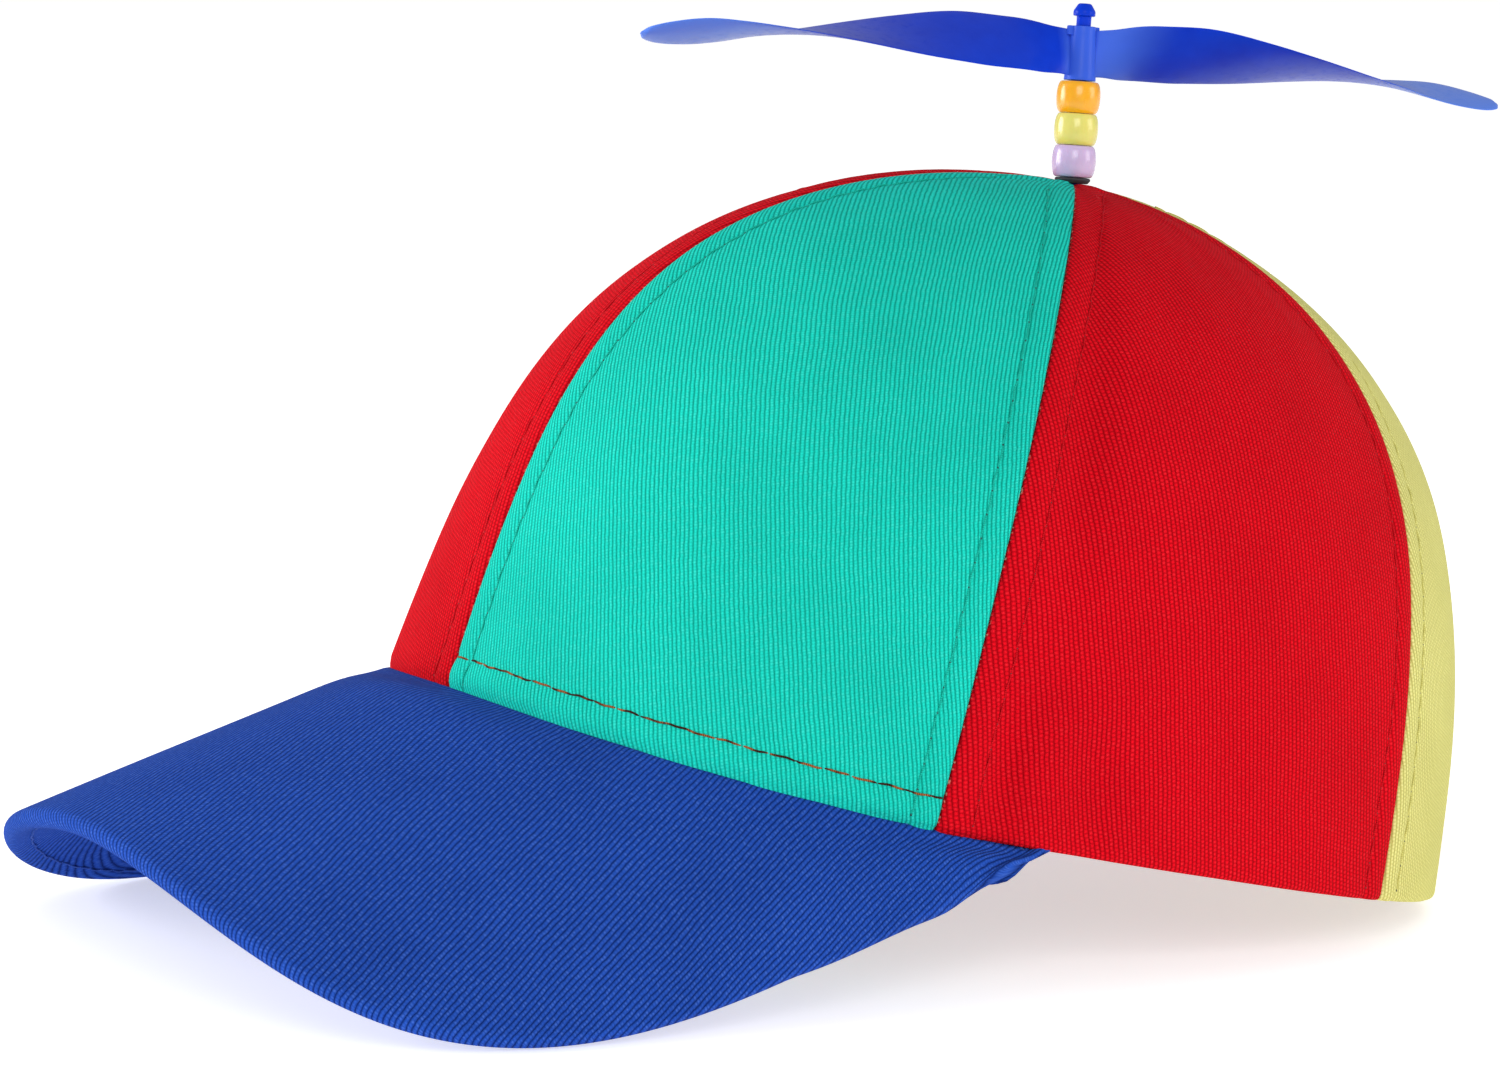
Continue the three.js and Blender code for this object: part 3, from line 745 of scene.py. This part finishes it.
# Roughness, coat, softness inside and bump strength of the beads
BEAD_GLOSS = (0.2, 0.3, 0.1, 0.12)
PALE = (0.85, 0.62, 0.45, 1.0)
LOOKS = {
    "green": cotton("green_twill", linear(0, 124, 104), linear(34, 238, 216), linear(120, 244, 228),
                    pitch=0.80, slant=21, nub=0.58, lag=-0.085, knot=0.3, glint=0.16, fleck=PALE,
                    fan=-0.0004),
    "red": cotton("red_canvas", linear(124, 0, 4), linear(254, 16, 36), linear(255, 80, 90),
                  pitch=0.88, slant=15, nub=0.76, lag=0.5, knot=0.62, glint=0.12, fleck=PALE),
    "yellow": cotton("yellow_canvas", linear(172, 166, 72), linear(249, 245, 160), linear(250, 248, 190),
                     pitch=0.9, slant=8, nub=0.7, lag=0.5, knot=0.5, glint=0.15, fleck=linear(214, 60, 50)),
    "blue": cotton("blue_twill", linear(0, 12, 72), linear(44, 92, 202), linear(100, 142, 232),
                   pitch=1.167, slant=-24.5, nub=0.65, lag=0.4, knot=0.25, glint=0.3,
                   fleck=linear(90, 130, 210), fan=0.0005),
    "thread_rust": thread("rust_thread", linear(14, 8, 5), linear(196, 112, 58), soot=0.9),
    "thread_green": thread("green_thread", linear(4, 120, 102), linear(30, 206, 184)),
    "thread_red": thread("red_thread", linear(140, 2, 10), linear(222, 18, 34)),
    "thread_yellow": thread("yellow_thread", linear(176, 168, 80), linear(226, 221, 136)),
    "thread_blue": thread("blue_thread", linear(12, 36, 108), linear(52, 94, 190)),
    # Painted shade: the needle holes are dark ovals for the shade inside them.
    "hole": plain_dark("needle_hole_painted_shade", (0.004, 0.012, 0.012, 1.0)),
    "washer": plain_dark("dark_rubber", (0.02, 0.02, 0.024, 1.0)),
    "blue_gloss": gloss("blue_plastic", linear(2, 43, 182), linear(5, 64, 216), 0.3, coat=0.03, specular=0.1,
                        thin=linear(96, 140, 238)),
    "bead_lilac": gloss("lilac_bead", linear(198, 172, 214), linear(220, 197, 233), *BEAD_GLOSS),
    "bead_yellow": gloss("yellow_bead", linear(222, 213, 98), linear(234, 226, 124), *BEAD_GLOSS),
    "bead_orange": gloss("orange_bead", linear(244, 162, 12), linear(252, 184, 32), *BEAD_GLOSS),
}

# Cloth panels and their stitches

COLOUR_OF = {"front_left": "green", "side_left": "red", "back_left": "yellow", "back_right": "red",
             "side_right": "blue", "front_right": "red"}


def make_panel(panel, rows, middles):
    """One panel: the finished cloth outside, the same surface one wall further in behind it. The inner skin
    counts as farther from the seam, so that it gets neither the frayed flecks nor the painted shade along
    seams."""
    angle, h, gap, length, sideways = panel_grid(panel, rows, middles)
    outer, normal = on_cloth(panel, angle, h, gap, length)
    inner = crown(angle, h) - normal * (CLOTH_WALL + fold_depth(panel, np.degrees(angle), h))[..., None]
    points, faces = shell(outer, inner)
    faces = facing(points, faces)
    uv = np.stack([sideways, length], -1).reshape(-1, 2) / UV_SPAN
    values = {"seam_gap": np.concatenate([gap.ravel(), gap.ravel() + 4])}
    colour = COLOUR_OF[panel]
    made = piece(f"{panel}_panel_cloth", points, faces, colour, "cap",
                 np.concatenate([uv, uv]), values, [f"panel_{panel}"])


THREAD_SIDES = 6
THREAD_STEPS = 12
THREAD_SWAY = 0.10
THREAD_WANDER = 0.06
HOLE_LONG = 1.35
HOLE_BROAD = 0.8
HOLE_PROUD = 0.035
HOLE_DEPTH = 0.25


def tube_along(path, normal, radius):
    """Rings of a round thread carried along a path: path + radius (side cos t + up sin t)."""
    ahead = unit(np.gradient(path, axis=0))
    side = unit(np.cross(ahead, normal))
    up = np.cross(side, ahead)
    turn = circle(THREAD_SIDES)[None, :, None]
    return path[:, None] + radius[:, None, None] * (np.cos(turn) * side[:, None] + np.sin(turn) * up[:, None])


def sampled(places, lengths, vectors):
    """Vectors given along a path, read at other lengths."""
    return np.stack([np.interp(places, lengths, vectors[:, i]) for i in range(3)], -1)


def stitched(name, rows, look, radius, stitch):
    """Rows of stitches in one piece. Along each row the thread rises out of one needle hole and dips into the
    next: height = radius (1.7 |sin(pi s / stitch)|^0.5 - 0.7)."""
    all_points, all_faces, all_uv, count = [], [], [], 0
    for path, normal in rows:
        s = path_length(path)
        fine = np.arange(0, s[-1], stitch / THREAD_STEPS)
        at = sampled(fine, s, path)
        up = unit(sampled(fine, s, normal))
        wave = np.abs(np.sin(math.pi * fine / stitch)) ** 0.5
        at = at + up * (radius * (1.7 * wave - 0.7))[:, None]
        side = unit(np.cross(np.gradient(at, axis=0), up))
        sway = THREAD_SWAY * np.sin(math.pi * fine / stitch) + THREAD_WANDER * np.sin(fine * 1.7)
        at = at + side * sway[:, None]
        points, faces = closed_tube(tube_along(at, up, radius * (0.85 + 0.15 * wave)))
        around = np.arange(THREAD_SIDES) / THREAD_SIDES
        uv = np.stack([np.repeat(fine, THREAD_SIDES), np.tile(around, len(fine))], -1)
        uv = np.concatenate([uv, uv[:2]]) / UV_SPAN
        all_points.append(points)
        all_faces.append(faces + count)
        all_uv.append(uv)
        count += len(points)
    piece(name, np.concatenate(all_points), np.concatenate(all_faces), look, "cap",
          np.concatenate(all_uv))


def holes(name, rows, stitch, radius):
    """Needle holes: a small dark oval of eight corners at each end of a stitch, just over the cloth: painted
    shade for the inside of each hole.
    """
    spots, ups, aheads = [], [], []
    for path, normal in rows:
        s = path_length(path)
        at = np.arange(0, s[-1], stitch)
        spots.append(sampled(at, s, path))
        ups.append(sampled(at, s, normal))
        aheads.append(sampled(at, s, np.gradient(path, axis=0)))
    spots, ups, aheads = np.concatenate(spots), unit(np.concatenate(ups)), unit(np.concatenate(aheads))
    sides = unit(np.cross(aheads, ups))
    turn = circle(8)
    ring = spots[:, None] + HOLE_LONG * radius * np.cos(turn)[None, :, None] * aheads[:, None]
    ring = ring + HOLE_BROAD * radius * np.sin(turn)[None, :, None] * sides[:, None]
    top = ring + HOLE_PROUD * ups[:, None]
    low = ring - HOLE_DEPTH * ups[:, None]
    points = np.concatenate([top, low], 1).reshape(-1, 3)
    base = (np.arange(len(spots)) * 16)[:, None]
    k = np.arange(8)
    n = (k + 1) % 8
    wall = np.stack([k, n, n + 8, k + 8], -1)
    lids = np.array([[0, 1, 2, 3], [0, 3, 4, 7], [4, 5, 6, 7]])
    block = np.concatenate([wall, lids[:, ::-1], lids + 8])
    faces = (base[:, :, None] + block[None]).reshape(-1, 4)
    piece(name, points, facing(points, faces), "hole", "cap")


def seam_row(panel, which):
    """Path of a row of stitches beside one seam of a panel, from near the rim to near the top."""
    start, end = PANELS[panel]
    h = np.sin(np.linspace(0.012, 0.9, 260) * math.pi / 2)
    a, b = start(h), end(h)
    radius = plan_radius((a + b) / 2, h)
    inset = np.minimum(SEAM_STITCH_INSET, STRIP_SHARE * (b - a) * radius * SEAM_STITCH_INSET / STRIP)
    angle = a + inset / radius if which == "start" else b - inset / radius
    up = rise_along(float((start(0.3) + end(0.3)) / 2), h)
    return on_cloth(panel, angle, h, inset, up)


def hem_row():
    """Path of the row of stitches across the green panel, a little over the peak."""
    edge = seam(SEAM_FRONT, 0.05)
    angle = np.linspace(0.004, edge - 0.003, 160)
    h = (join_height(angle) + HEM_STITCH_RISE) / CROWN_HEIGHT
    radius = plan_radius(angle, h)
    gap = np.minimum(edge - angle, angle) * radius
    return on_cloth("front_left", angle, h, gap, 0 * gap, 0.02)


for panel, rows, middles in [("front_left", 150, 66), ("side_left", 150, 76), ("back_left", 130, 56),
                             ("back_right", 110, 50), ("side_right", 120, 60), ("front_right", 120, 60)]:
    make_panel(panel, rows, middles)

row_sets = {}
for panel, colour in COLOUR_OF.items():
    row_sets.setdefault(colour, []).extend([seam_row(panel, "start"), seam_row(panel, "end")])
for colour, hole_radius in SEAM_HOLE_RADIUS.items():
    stitched(f"{colour}_seam_stitches", row_sets[colour], "thread_" + colour,
             SEAM_THREAD_RADIUS, SEAM_STITCH_LENGTH)
    holes(f"{colour}_needle_holes", row_sets[colour], SEAM_STITCH_LENGTH, hole_radius)
hem = [hem_row()]
stitched("front_hem_stitches", hem, "thread_rust", HEM_THREAD_RADIUS, HEM_STITCH_LENGTH)
holes("front_hem_holes", hem, HEM_STITCH_LENGTH, HEM_HOLE_RADIUS)


# Peak

def bend_radius(forward):
    """Radius of the peak's bend, which changes evenly from its root to its tip."""
    share = np.clip((forward + PEAK_BEND_REACH) / (PEAK_LENGTH + PEAK_BEND_REACH), 0, 1)
    return PEAK_BEND_ROOT + (PEAK_BEND_TIP - PEAK_BEND_ROOT) * share


def peak_point(sideways, forward):
    """The flat pattern bent around an axis that runs forwards and down, tighter towards its tip."""
    radius = bend_radius(forward)
    turn = sideways / radius
    droop = math.radians(PEAK_DROOP)
    return np.stack([radius * np.sin(turn), -CROWN_FRONT - forward * math.cos(droop),
                     PEAK_ROOT_RISE - forward * math.sin(droop) - radius * (1 - np.cos(turn))], -1)


def join_point(u):
    """Where the peak runs in under the crown's rolled edge; u runs from -1 to 1 around the front."""
    angle = u * math.radians(PEAK_JOIN_ANGLE)
    h = join_height(angle) / CROWN_HEIGHT
    tuck = crown_normal(angle, h) * PEAK_TUCK
    tuck[..., 2] -= PEAK_TUCK_RISE + PEAK_END_RISE * smooth((np.abs(u) - 0.96) / 0.04)
    return crown(angle, h) - tuck


def join_wall(u):
    """Direction up the crown's wall from its rim to the join line."""
    angle = u * math.radians(PEAK_JOIN_ANGLE)
    return unit(crown(angle, 0 * u + PEAK_JOIN_RISE / CROWN_HEIGHT) - crown(angle, 0 * u))


def join_pattern(point):
    """A point of the join laid back into the flat pattern."""
    forward = (-CROWN_FRONT - point[..., 1]) / math.cos(math.radians(PEAK_DROOP))
    radius = bend_radius(forward)
    return np.stack([radius * np.arcsin(point[..., 0] / radius), forward], -1)


def edge_pattern(u):
    """Outer edge in the flat pattern: half an oval in front, then a bowed line back to the join's end."""
    share = 0.86
    power = 2 / PEAK_ROUNDNESS
    end = join_pattern(join_point(np.array([1.0])))[0]
    turn = np.clip(np.abs(u) / share, 0, 1) * math.pi / 2
    ahead = -PEAK_WIDEST + (PEAK_LENGTH + PEAK_WIDEST) * np.maximum(np.cos(turn), 0) ** power
    sideways = PEAK_HALF_WIDTH * np.sin(turn) ** power
    back = np.clip((np.abs(u) - share) / (1 - share), 0, 1)
    sideways = np.where(back > 0, PEAK_HALF_WIDTH + (end[0] + PEAK_END_WALL * 0.6 - PEAK_HALF_WIDTH) * back
                        + PEAK_SIDE_BOW * 4 * back * (1 - back), sideways)
    ahead = np.where(back > 0, -PEAK_WIDEST + (end[1] + PEAK_WIDEST) * back, ahead)
    return np.stack([np.sign(u) * sideways, ahead], -1)


def peak_top(u, share):
    """Top of the peak between the join (share 0) and the outer edge (share 1): the bent pattern, lifted near
    the join so that it follows the crown's rim, the lift dying away as a bell over the blend length."""
    join = join_point(u)
    inner, outer = join_pattern(join), edge_pattern(u)
    width = np.linalg.norm(outer - inner, axis=-1)
    spot = inner + (outer - inner) * share[..., None]
    point = peak_point(spot[..., 0], spot[..., 1])
    lift = join[..., 2] - peak_point(inner[..., 0], inner[..., 1])[..., 2]
    point[..., 2] += lift * bell(share * width, 0, PEAK_BLEND)
    return point, width, join[..., 2]


def make_peak(columns, rows):
    """The peak's cross-section goes out along the top, round the rolled edge and back along the underside,
    and is carried from one end of the join to the other. Near both ends it is stouter and sags a little.
    Returns the path of the stitches on the underside, with its normals."""
    u = np.sin(np.linspace(-1, 1, columns) * math.pi / 2 * 0.93) / math.sin(math.pi / 2 * 0.93)
    u = 0.45 * u + 0.55 * np.linspace(-1, 1, columns)
    v = np.concatenate([[0, 0.006, 0.014, 0.026], np.linspace(0.04, 1, rows)])
    grid_u, grid_v = np.meshgrid(u, v, indexing="ij")
    width = peak_top(grid_u, grid_v)[1]
    pull = np.minimum(PEAK_EDGE_PULL, 0.45 * width)
    grid_v = grid_v * (1 - pull / width)
    top, width, rise = peak_top(grid_u, grid_v)
    step = 1e-3
    out = unit(peak_top(grid_u, grid_v + step)[0] - peak_top(grid_u, grid_v - step)[0])
    along = peak_top(np.minimum(grid_u + step, 1), grid_v)[0]
    along = along - peak_top(np.maximum(grid_u - step, -1), grid_v)[0]
    normal = unit(np.cross(along, out))
    normal = np.where(normal[..., 2:] < 0, -normal, normal)
    away = smooth(grid_v * width / PEAK_BLEND)
    wall_up = join_wall(grid_u)
    through = unit(wall_up + (normal - wall_up) * away[..., None])
    wall = (rise + PEAK_END_WALL) * (1 - away) + PEAK_THICKNESS * away
    wall = wall * (0.15 + 0.85 * smooth((1 - np.abs(u)) / 0.06))[:, None]
    stout = bell(np.abs(u), 0.95, 0.03)
    top[..., 2] -= PEAK_END_SAG * bell(np.abs(u), 0.957, 0.017)[:, None] * smooth(grid_v * 1.3)
    wall += PEAK_END_STOUT * stout[:, None] * smooth(grid_v * 1.5)
    dip = PEAK_DIP * bell(grid_v * width, 0, 0.9)
    swell = PEAK_SWELL * np.sin(u * 9.0)[:, None] * np.sin(grid_v * 5.0) * (1 - grid_v)
    upper = top + normal * (swell - dip)[..., None]
    lower = top - through * wall[..., None]
    middle = (upper[:, -1] + lower[:, -1]) / 2
    half = (upper[:, -1] - lower[:, -1]) / 2
    turn = np.linspace(0, math.pi, 15)[1:-1]
    reach_out = (pull[:, -1] + PEAK_EDGE_ROLL + PEAK_END_REACH * stout)[:, None, None]
    edge = middle[:, None] + np.cos(turn)[None, :, None] * half[:, None]
    edge = edge + (np.sin(turn) ** 0.8)[None, :, None] * reach_out * out[:, -1][:, None]
    rings = np.concatenate([upper, edge, lower[:, ::-1]], 1)
    step_in = np.linalg.norm(np.diff(rings, axis=1), axis=-1)
    s = np.concatenate([np.zeros((columns, 1)), np.cumsum(step_in, 1)], 1)
    points, faces = closed_tube(rings)
    direction = unit(edge_pattern(u) - join_pattern(join_point(u)))
    flat = join_pattern(join_point(u))[:, None] + direction[:, None] * s[..., None]
    uv = np.concatenate([flat.reshape(-1, 2), flat[0].mean(0)[None], flat[-1].mean(0)[None]]) / UV_SPAN
    # Distance from the join, which sets the frayed flecks and the painted shade along the join.
    gap = np.append(np.clip(s - PEAK_TUCK, 0.05, 6.0), [6.0, 6.0])
    made = piece("peak_cloth", points, faces, "blue", "cap", uv, {"seam_gap": gap},
                 ["peak"])
    inset = (pull[:, -1] + PEAK_STITCH_INSET) / width[:, -1]
    under = peak_top(u, np.clip(1 - inset, 0, 1))[0] - normal[:, -1] * PEAK_THICKNESS
    keep = np.abs(u) < 0.93
    return under[keep], -normal[:, -1][keep]


under_row = make_peak(260, 70)
stitched("peak_under_stitches", [under_row], "thread_blue", PEAK_THREAD_RADIUS,
         PEAK_STITCH_LENGTH)


# Washer, pin, beads and propeller

def add_on_post(name, points, faces, look, body, height, nodes, turn=0.0, values=None):
    """A piece made around the post's axis, at a height along it."""
    piece(name, on_post(points, height, turn), faces, look, body, None, values, nodes)


WASHER_TOP = BEAD_START - WASHER_PLAY
points, faces = turned(rounded([
    (BORE_RADIUS, WASHER_LIFT), (WASHER_FOOT_RADIUS, WASHER_LIFT), (WASHER_WAIST_RADIUS, WASHER_WAIST_HEIGHT),
    (WASHER_TOP_RADIUS, WASHER_TOP), (BORE_RADIUS, WASHER_TOP), (BORE_RADIUS, WASHER_LIFT + 0.001)], 0.2), 64)
add_on_post("washer_ring", points, faces, "washer", "cap", 0, ["top_washer"])

HEAD_TOP = -(CLOTH_WALL + CLEARANCE + PIN_HEAD_RADIUS * LEAN + crown_drop(PIN_HEAD_RADIUS))
HEAD_BASE = HEAD_TOP - PIN_HEAD_THICKNESS
points, faces = turned(rounded([
    (0, HEAD_BASE), (PIN_HEAD_RADIUS, HEAD_BASE), (PIN_HEAD_RADIUS, HEAD_TOP), (PIN_RADIUS, HEAD_TOP),
    (PIN_RADIUS, PIN_TOP), (PIN_BARB_RADIUS, PIN_TOP), (PIN_BARB_RADIUS, PIN_TOP + 0.4 * PIN_BARB_HEIGHT),
    (PIN_BARB_RADIUS * 0.62, PIN_TOP + 0.93 * PIN_BARB_HEIGHT),
    (PIN_BARB_RADIUS * 0.5, PIN_TOP + PIN_BARB_HEIGHT), (0, PIN_TOP + PIN_BARB_HEIGHT)], 0.25), 48)
add_on_post("pin_moulding", points, faces, "blue_gloss", "cap", 0, ["pin"])


def bead_profile():
    """Barrel of a bead: radius = flat + (radius - flat) sin(t)^0.75, with a softened bore. The beads all but
    touch each other."""
    t = np.linspace(0, math.pi, 34)
    low, high = -BEAD_OVERLAP, BEAD_HEIGHT + BEAD_OVERLAP
    barrel = np.stack([BEAD_FLAT + (BEAD_RADIUS + BEAD_SWELL - BEAD_FLAT) * np.sin(t) ** 0.75,
                       low + (high - low) * (1 - np.cos(t)) / 2], -1)
    inner = [(BORE_RADIUS + BEAD_SOFTEN, high), (BORE_RADIUS, high - BEAD_SOFTEN),
             (BORE_RADIUS, low + BEAD_SOFTEN), (BORE_RADIUS + BEAD_SOFTEN, low)]
    return np.concatenate([barrel, inner])


points, faces = turned(bead_profile(), 72)
BEADS = [("lower", "bead_lilac"), ("middle", "bead_yellow"), ("upper", "bead_orange")]
for place, (name, look) in enumerate(BEADS):
    add_on_post(f"{name}_bead_moulding", points, faces, look, f"bead_{name}",
                BEAD_START + place * BEAD_PITCH, [f"bead_{name}"])


def smooth_column(rows, column, place):
    """A table's column at any place, by a cubic through the rows that doesn't overshoot."""
    x, y = rows[:, 0], rows[:, column]
    d = np.diff(y) / np.diff(x)
    slope = np.zeros(len(x))
    inner = (d[:-1] * d[1:] > 0)
    slope[1:-1] = np.where(inner, 2 * d[:-1] * d[1:] / np.where(inner, d[:-1] + d[1:], 1), 0)
    slope[0], slope[-1] = d[0], d[-1]
    i = np.clip(np.searchsorted(x, place) - 1, 0, len(x) - 2)
    w = x[i + 1] - x[i]
    t = np.clip((place - x[i]) / w, 0, 1)
    return ((2 * t ** 3 - 3 * t ** 2 + 1) * y[i] + (t ** 3 - 2 * t ** 2 + t) * w * slope[i]
            + (3 * t ** 2 - 2 * t ** 3) * y[i + 1] + (t ** 3 - t ** 2) * w * slope[i + 1])


def blade(side):
    """A blade: a flat oval section carried outwards, its pitch, width and lift from the table. Where it is
    narrow it gets thin too."""
    place = BLADE_SECTIONS[0, 0] + (1 - BLADE_SECTIONS[0, 0]) * np.sin(np.linspace(0, 1, 150) * math.pi / 2)
    width = BLADE_WIDTH * smooth_column(BLADE_SECTIONS, 1, place)
    pitch = np.radians(smooth_column(BLADE_SECTIONS, 2, place))[:, None]
    middle = (BLADE_SEAT + BLADE_DROP * smooth_column(BLADE_SECTIONS, 3, place))[:, None]
    turn = circle(40)[None]
    across = np.cos(turn) * width[:, None] / 2
    thick = np.sin(turn) * BLADE_THICKNESS / 2 * (0.55 + 0.45 * np.abs(np.sin(turn)))
    thick = thick * np.minimum(1, width / BLADE_FULL_WIDTH)[:, None] + 0 * across
    x = side * place[:, None] * BLADE_REACH + 0 * across
    y = -side * (across * np.cos(pitch) + thick * np.sin(pitch))
    z = middle + across * np.sin(pitch) - thick * np.cos(pitch)
    return closed_tube(np.stack([x, y, z], -1))


def bend(w):
    """Sign of w times |w|^(1/4)."""
    return np.sign(w) * np.abs(w) ** 0.25


def rounded_block(low, high):
    """A box with rounded edges: a superellipsoid of power 4."""
    a = np.linspace(-math.pi / 2, math.pi / 2, 40)
    b = np.linspace(-math.pi, math.pi, 80, endpoint=False)
    cz, sz = bend(np.cos(a))[1:-1, None], bend(np.sin(a))[1:-1, None]
    middle, half = (np.array(low) + high) / 2, (np.array(high) - low) / 2
    ring = np.stack([cz * bend(np.cos(b))[None], cz * bend(np.sin(b))[None], sz + 0 * b[None]], -1)
    return closed_tube(middle + ring * half)


lug_low, lug_high = HUB_TOP_RADIUS - HUB_LUG * 0.4, HUB_TOP_RADIUS + HUB_LUG * 0.6
lug_side, lug_foot = HUB_LUG / 2, HUB_HEIGHT - 1.4 * HUB_LUG
parts = [turned(rounded([(BORE_RADIUS, 0), (HUB_BASE_RADIUS, 0), (HUB_BASE_RADIUS * 0.97, 1.2),
                         (HUB_TOP_RADIUS, HUB_HEIGHT - 1.7), (HUB_TOP_RADIUS, HUB_HEIGHT),
                         (BORE_RADIUS, HUB_HEIGHT), (BORE_RADIUS, 0.001)], 0.15), 72),
         blade(1), blade(-1),
         rounded_block((-lug_high, -lug_side, lug_foot), (-lug_low, lug_side, HUB_HEIGHT)),
         rounded_block((lug_low, -lug_side, lug_foot), (lug_high, lug_side, HUB_HEIGHT))]
counts = np.cumsum([0] + [len(p) for p, _ in parts])
points = np.concatenate([p for p, _ in parts])
faces = np.concatenate([f + n for (_, f), n in zip(parts, counts)])

# How pale the plastic is painted, for a highlight and for light shining through thin plastic: towards the
# tips, at the roots, and more so on one blade's root
painted_light_share = smooth((np.abs(points[:, 0]) / BLADE_REACH - 0.6) / 0.22)
painted_light_share = np.maximum(painted_light_share, 0.38 * smooth((4.6 - np.abs(points[:, 0])) / 1.6))
painted_light_share = np.maximum(painted_light_share, 0.5 * smooth((19 - points[:, 0]) / 13) * (points[:, 0] > 3))
add_on_post("propeller_moulding", points, faces, "blue_gloss", "propeller", HUB_START,
            ["propeller"], PROPELLER_TURN, {"painted_light_share": painted_light_share})


# Floor, light and camera

def add_floor():
    """A pale square that fills the picture and glows a little, like a light table."""
    look = Look("studio_floor")
    faint = look.noise(look.object_place(), 6.0, 2.0)
    colour = look.mix(faint * 0.4, (0.93, 0.93, 0.93, 1.0), (0.95, 0.95, 0.95, 1.0))
    look.finish(colour, 0.9, specular_ior_level=0.0, emission_color=(1.0, 1.0, 1.0, 1.0),
                emission_strength=FLOOR_GLOW)
    mesh = bpy.data.meshes.new("floor")
    far = 12.0
    mesh.from_pydata([(-far, -far, 0), (far, -far, 0), (far, far, 0), (-far, far, 0)], [], [(0, 1, 2, 3)])
    floor = add_object("floor", mesh)
    mesh.materials.append(look.material)


def set_frame(made, right, up, back, place):
    """Puts an object at a place with its axes along three directions."""
    made.matrix_world = Matrix([[right[i], up[i], back[i], place[i]] for i in range(3)] + [[0, 0, 0, 1]])


def add_light(name, place, power):
    """A soft oblong light of the given watts that faces the cap."""
    data = bpy.data.lights.new(name, "AREA")
    data.shape, data.energy = "RECTANGLE", power
    data.size, data.size_y = LIGHT_SIZE
    made = add_object(name, data)
    back = unit(np.array(place) - LIGHT_AIM)
    right = unit(np.cross([0, 0, 1], back))
    set_frame(made, right, np.cross(back, right), back, place)


def add_camera():
    """The camera stands at the photograph's place, turned by azimuth, elevation and a small roll."""
    a, e, r = (math.radians(v) for v in (CAMERA_AZIMUTH, CAMERA_ELEVATION, CAMERA_ROLL))
    right = np.array([math.cos(a), math.sin(a), 0])
    back = np.array([math.sin(a) * math.cos(e), -math.cos(a) * math.cos(e), math.sin(e)])
    up = np.cross(back, right)
    rolled = math.cos(r) * right - math.sin(r) * up
    upright = math.sin(r) * right + math.cos(r) * up
    place = np.array(CAMERA_PLACE) / 1000
    data = bpy.data.cameras.new("camera")
    data.sensor_fit, data.sensor_width, data.lens = "HORIZONTAL", CAMERA_SENSOR, CAMERA_LENS
    data.clip_start, data.clip_end = 0.01, 50
    camera = add_object("camera", data)
    set_frame(camera, rolled, upright, back, place)
    bpy.context.scene.camera = camera


world = bpy.data.worlds.new("studio")
bpy.context.scene.world = world
world.use_nodes = True
background = world.node_tree.nodes["Background"]
background.inputs["Color"].default_value = (1.0, 1.0, 1.0, 1.0)
background.inputs["Strength"].default_value = WORLD_STRENGTH
bpy.context.scene.view_settings.view_transform = "Standard"
add_floor()
add_camera()
for name, place, power in LIGHTS:
    add_light(name, place, power)
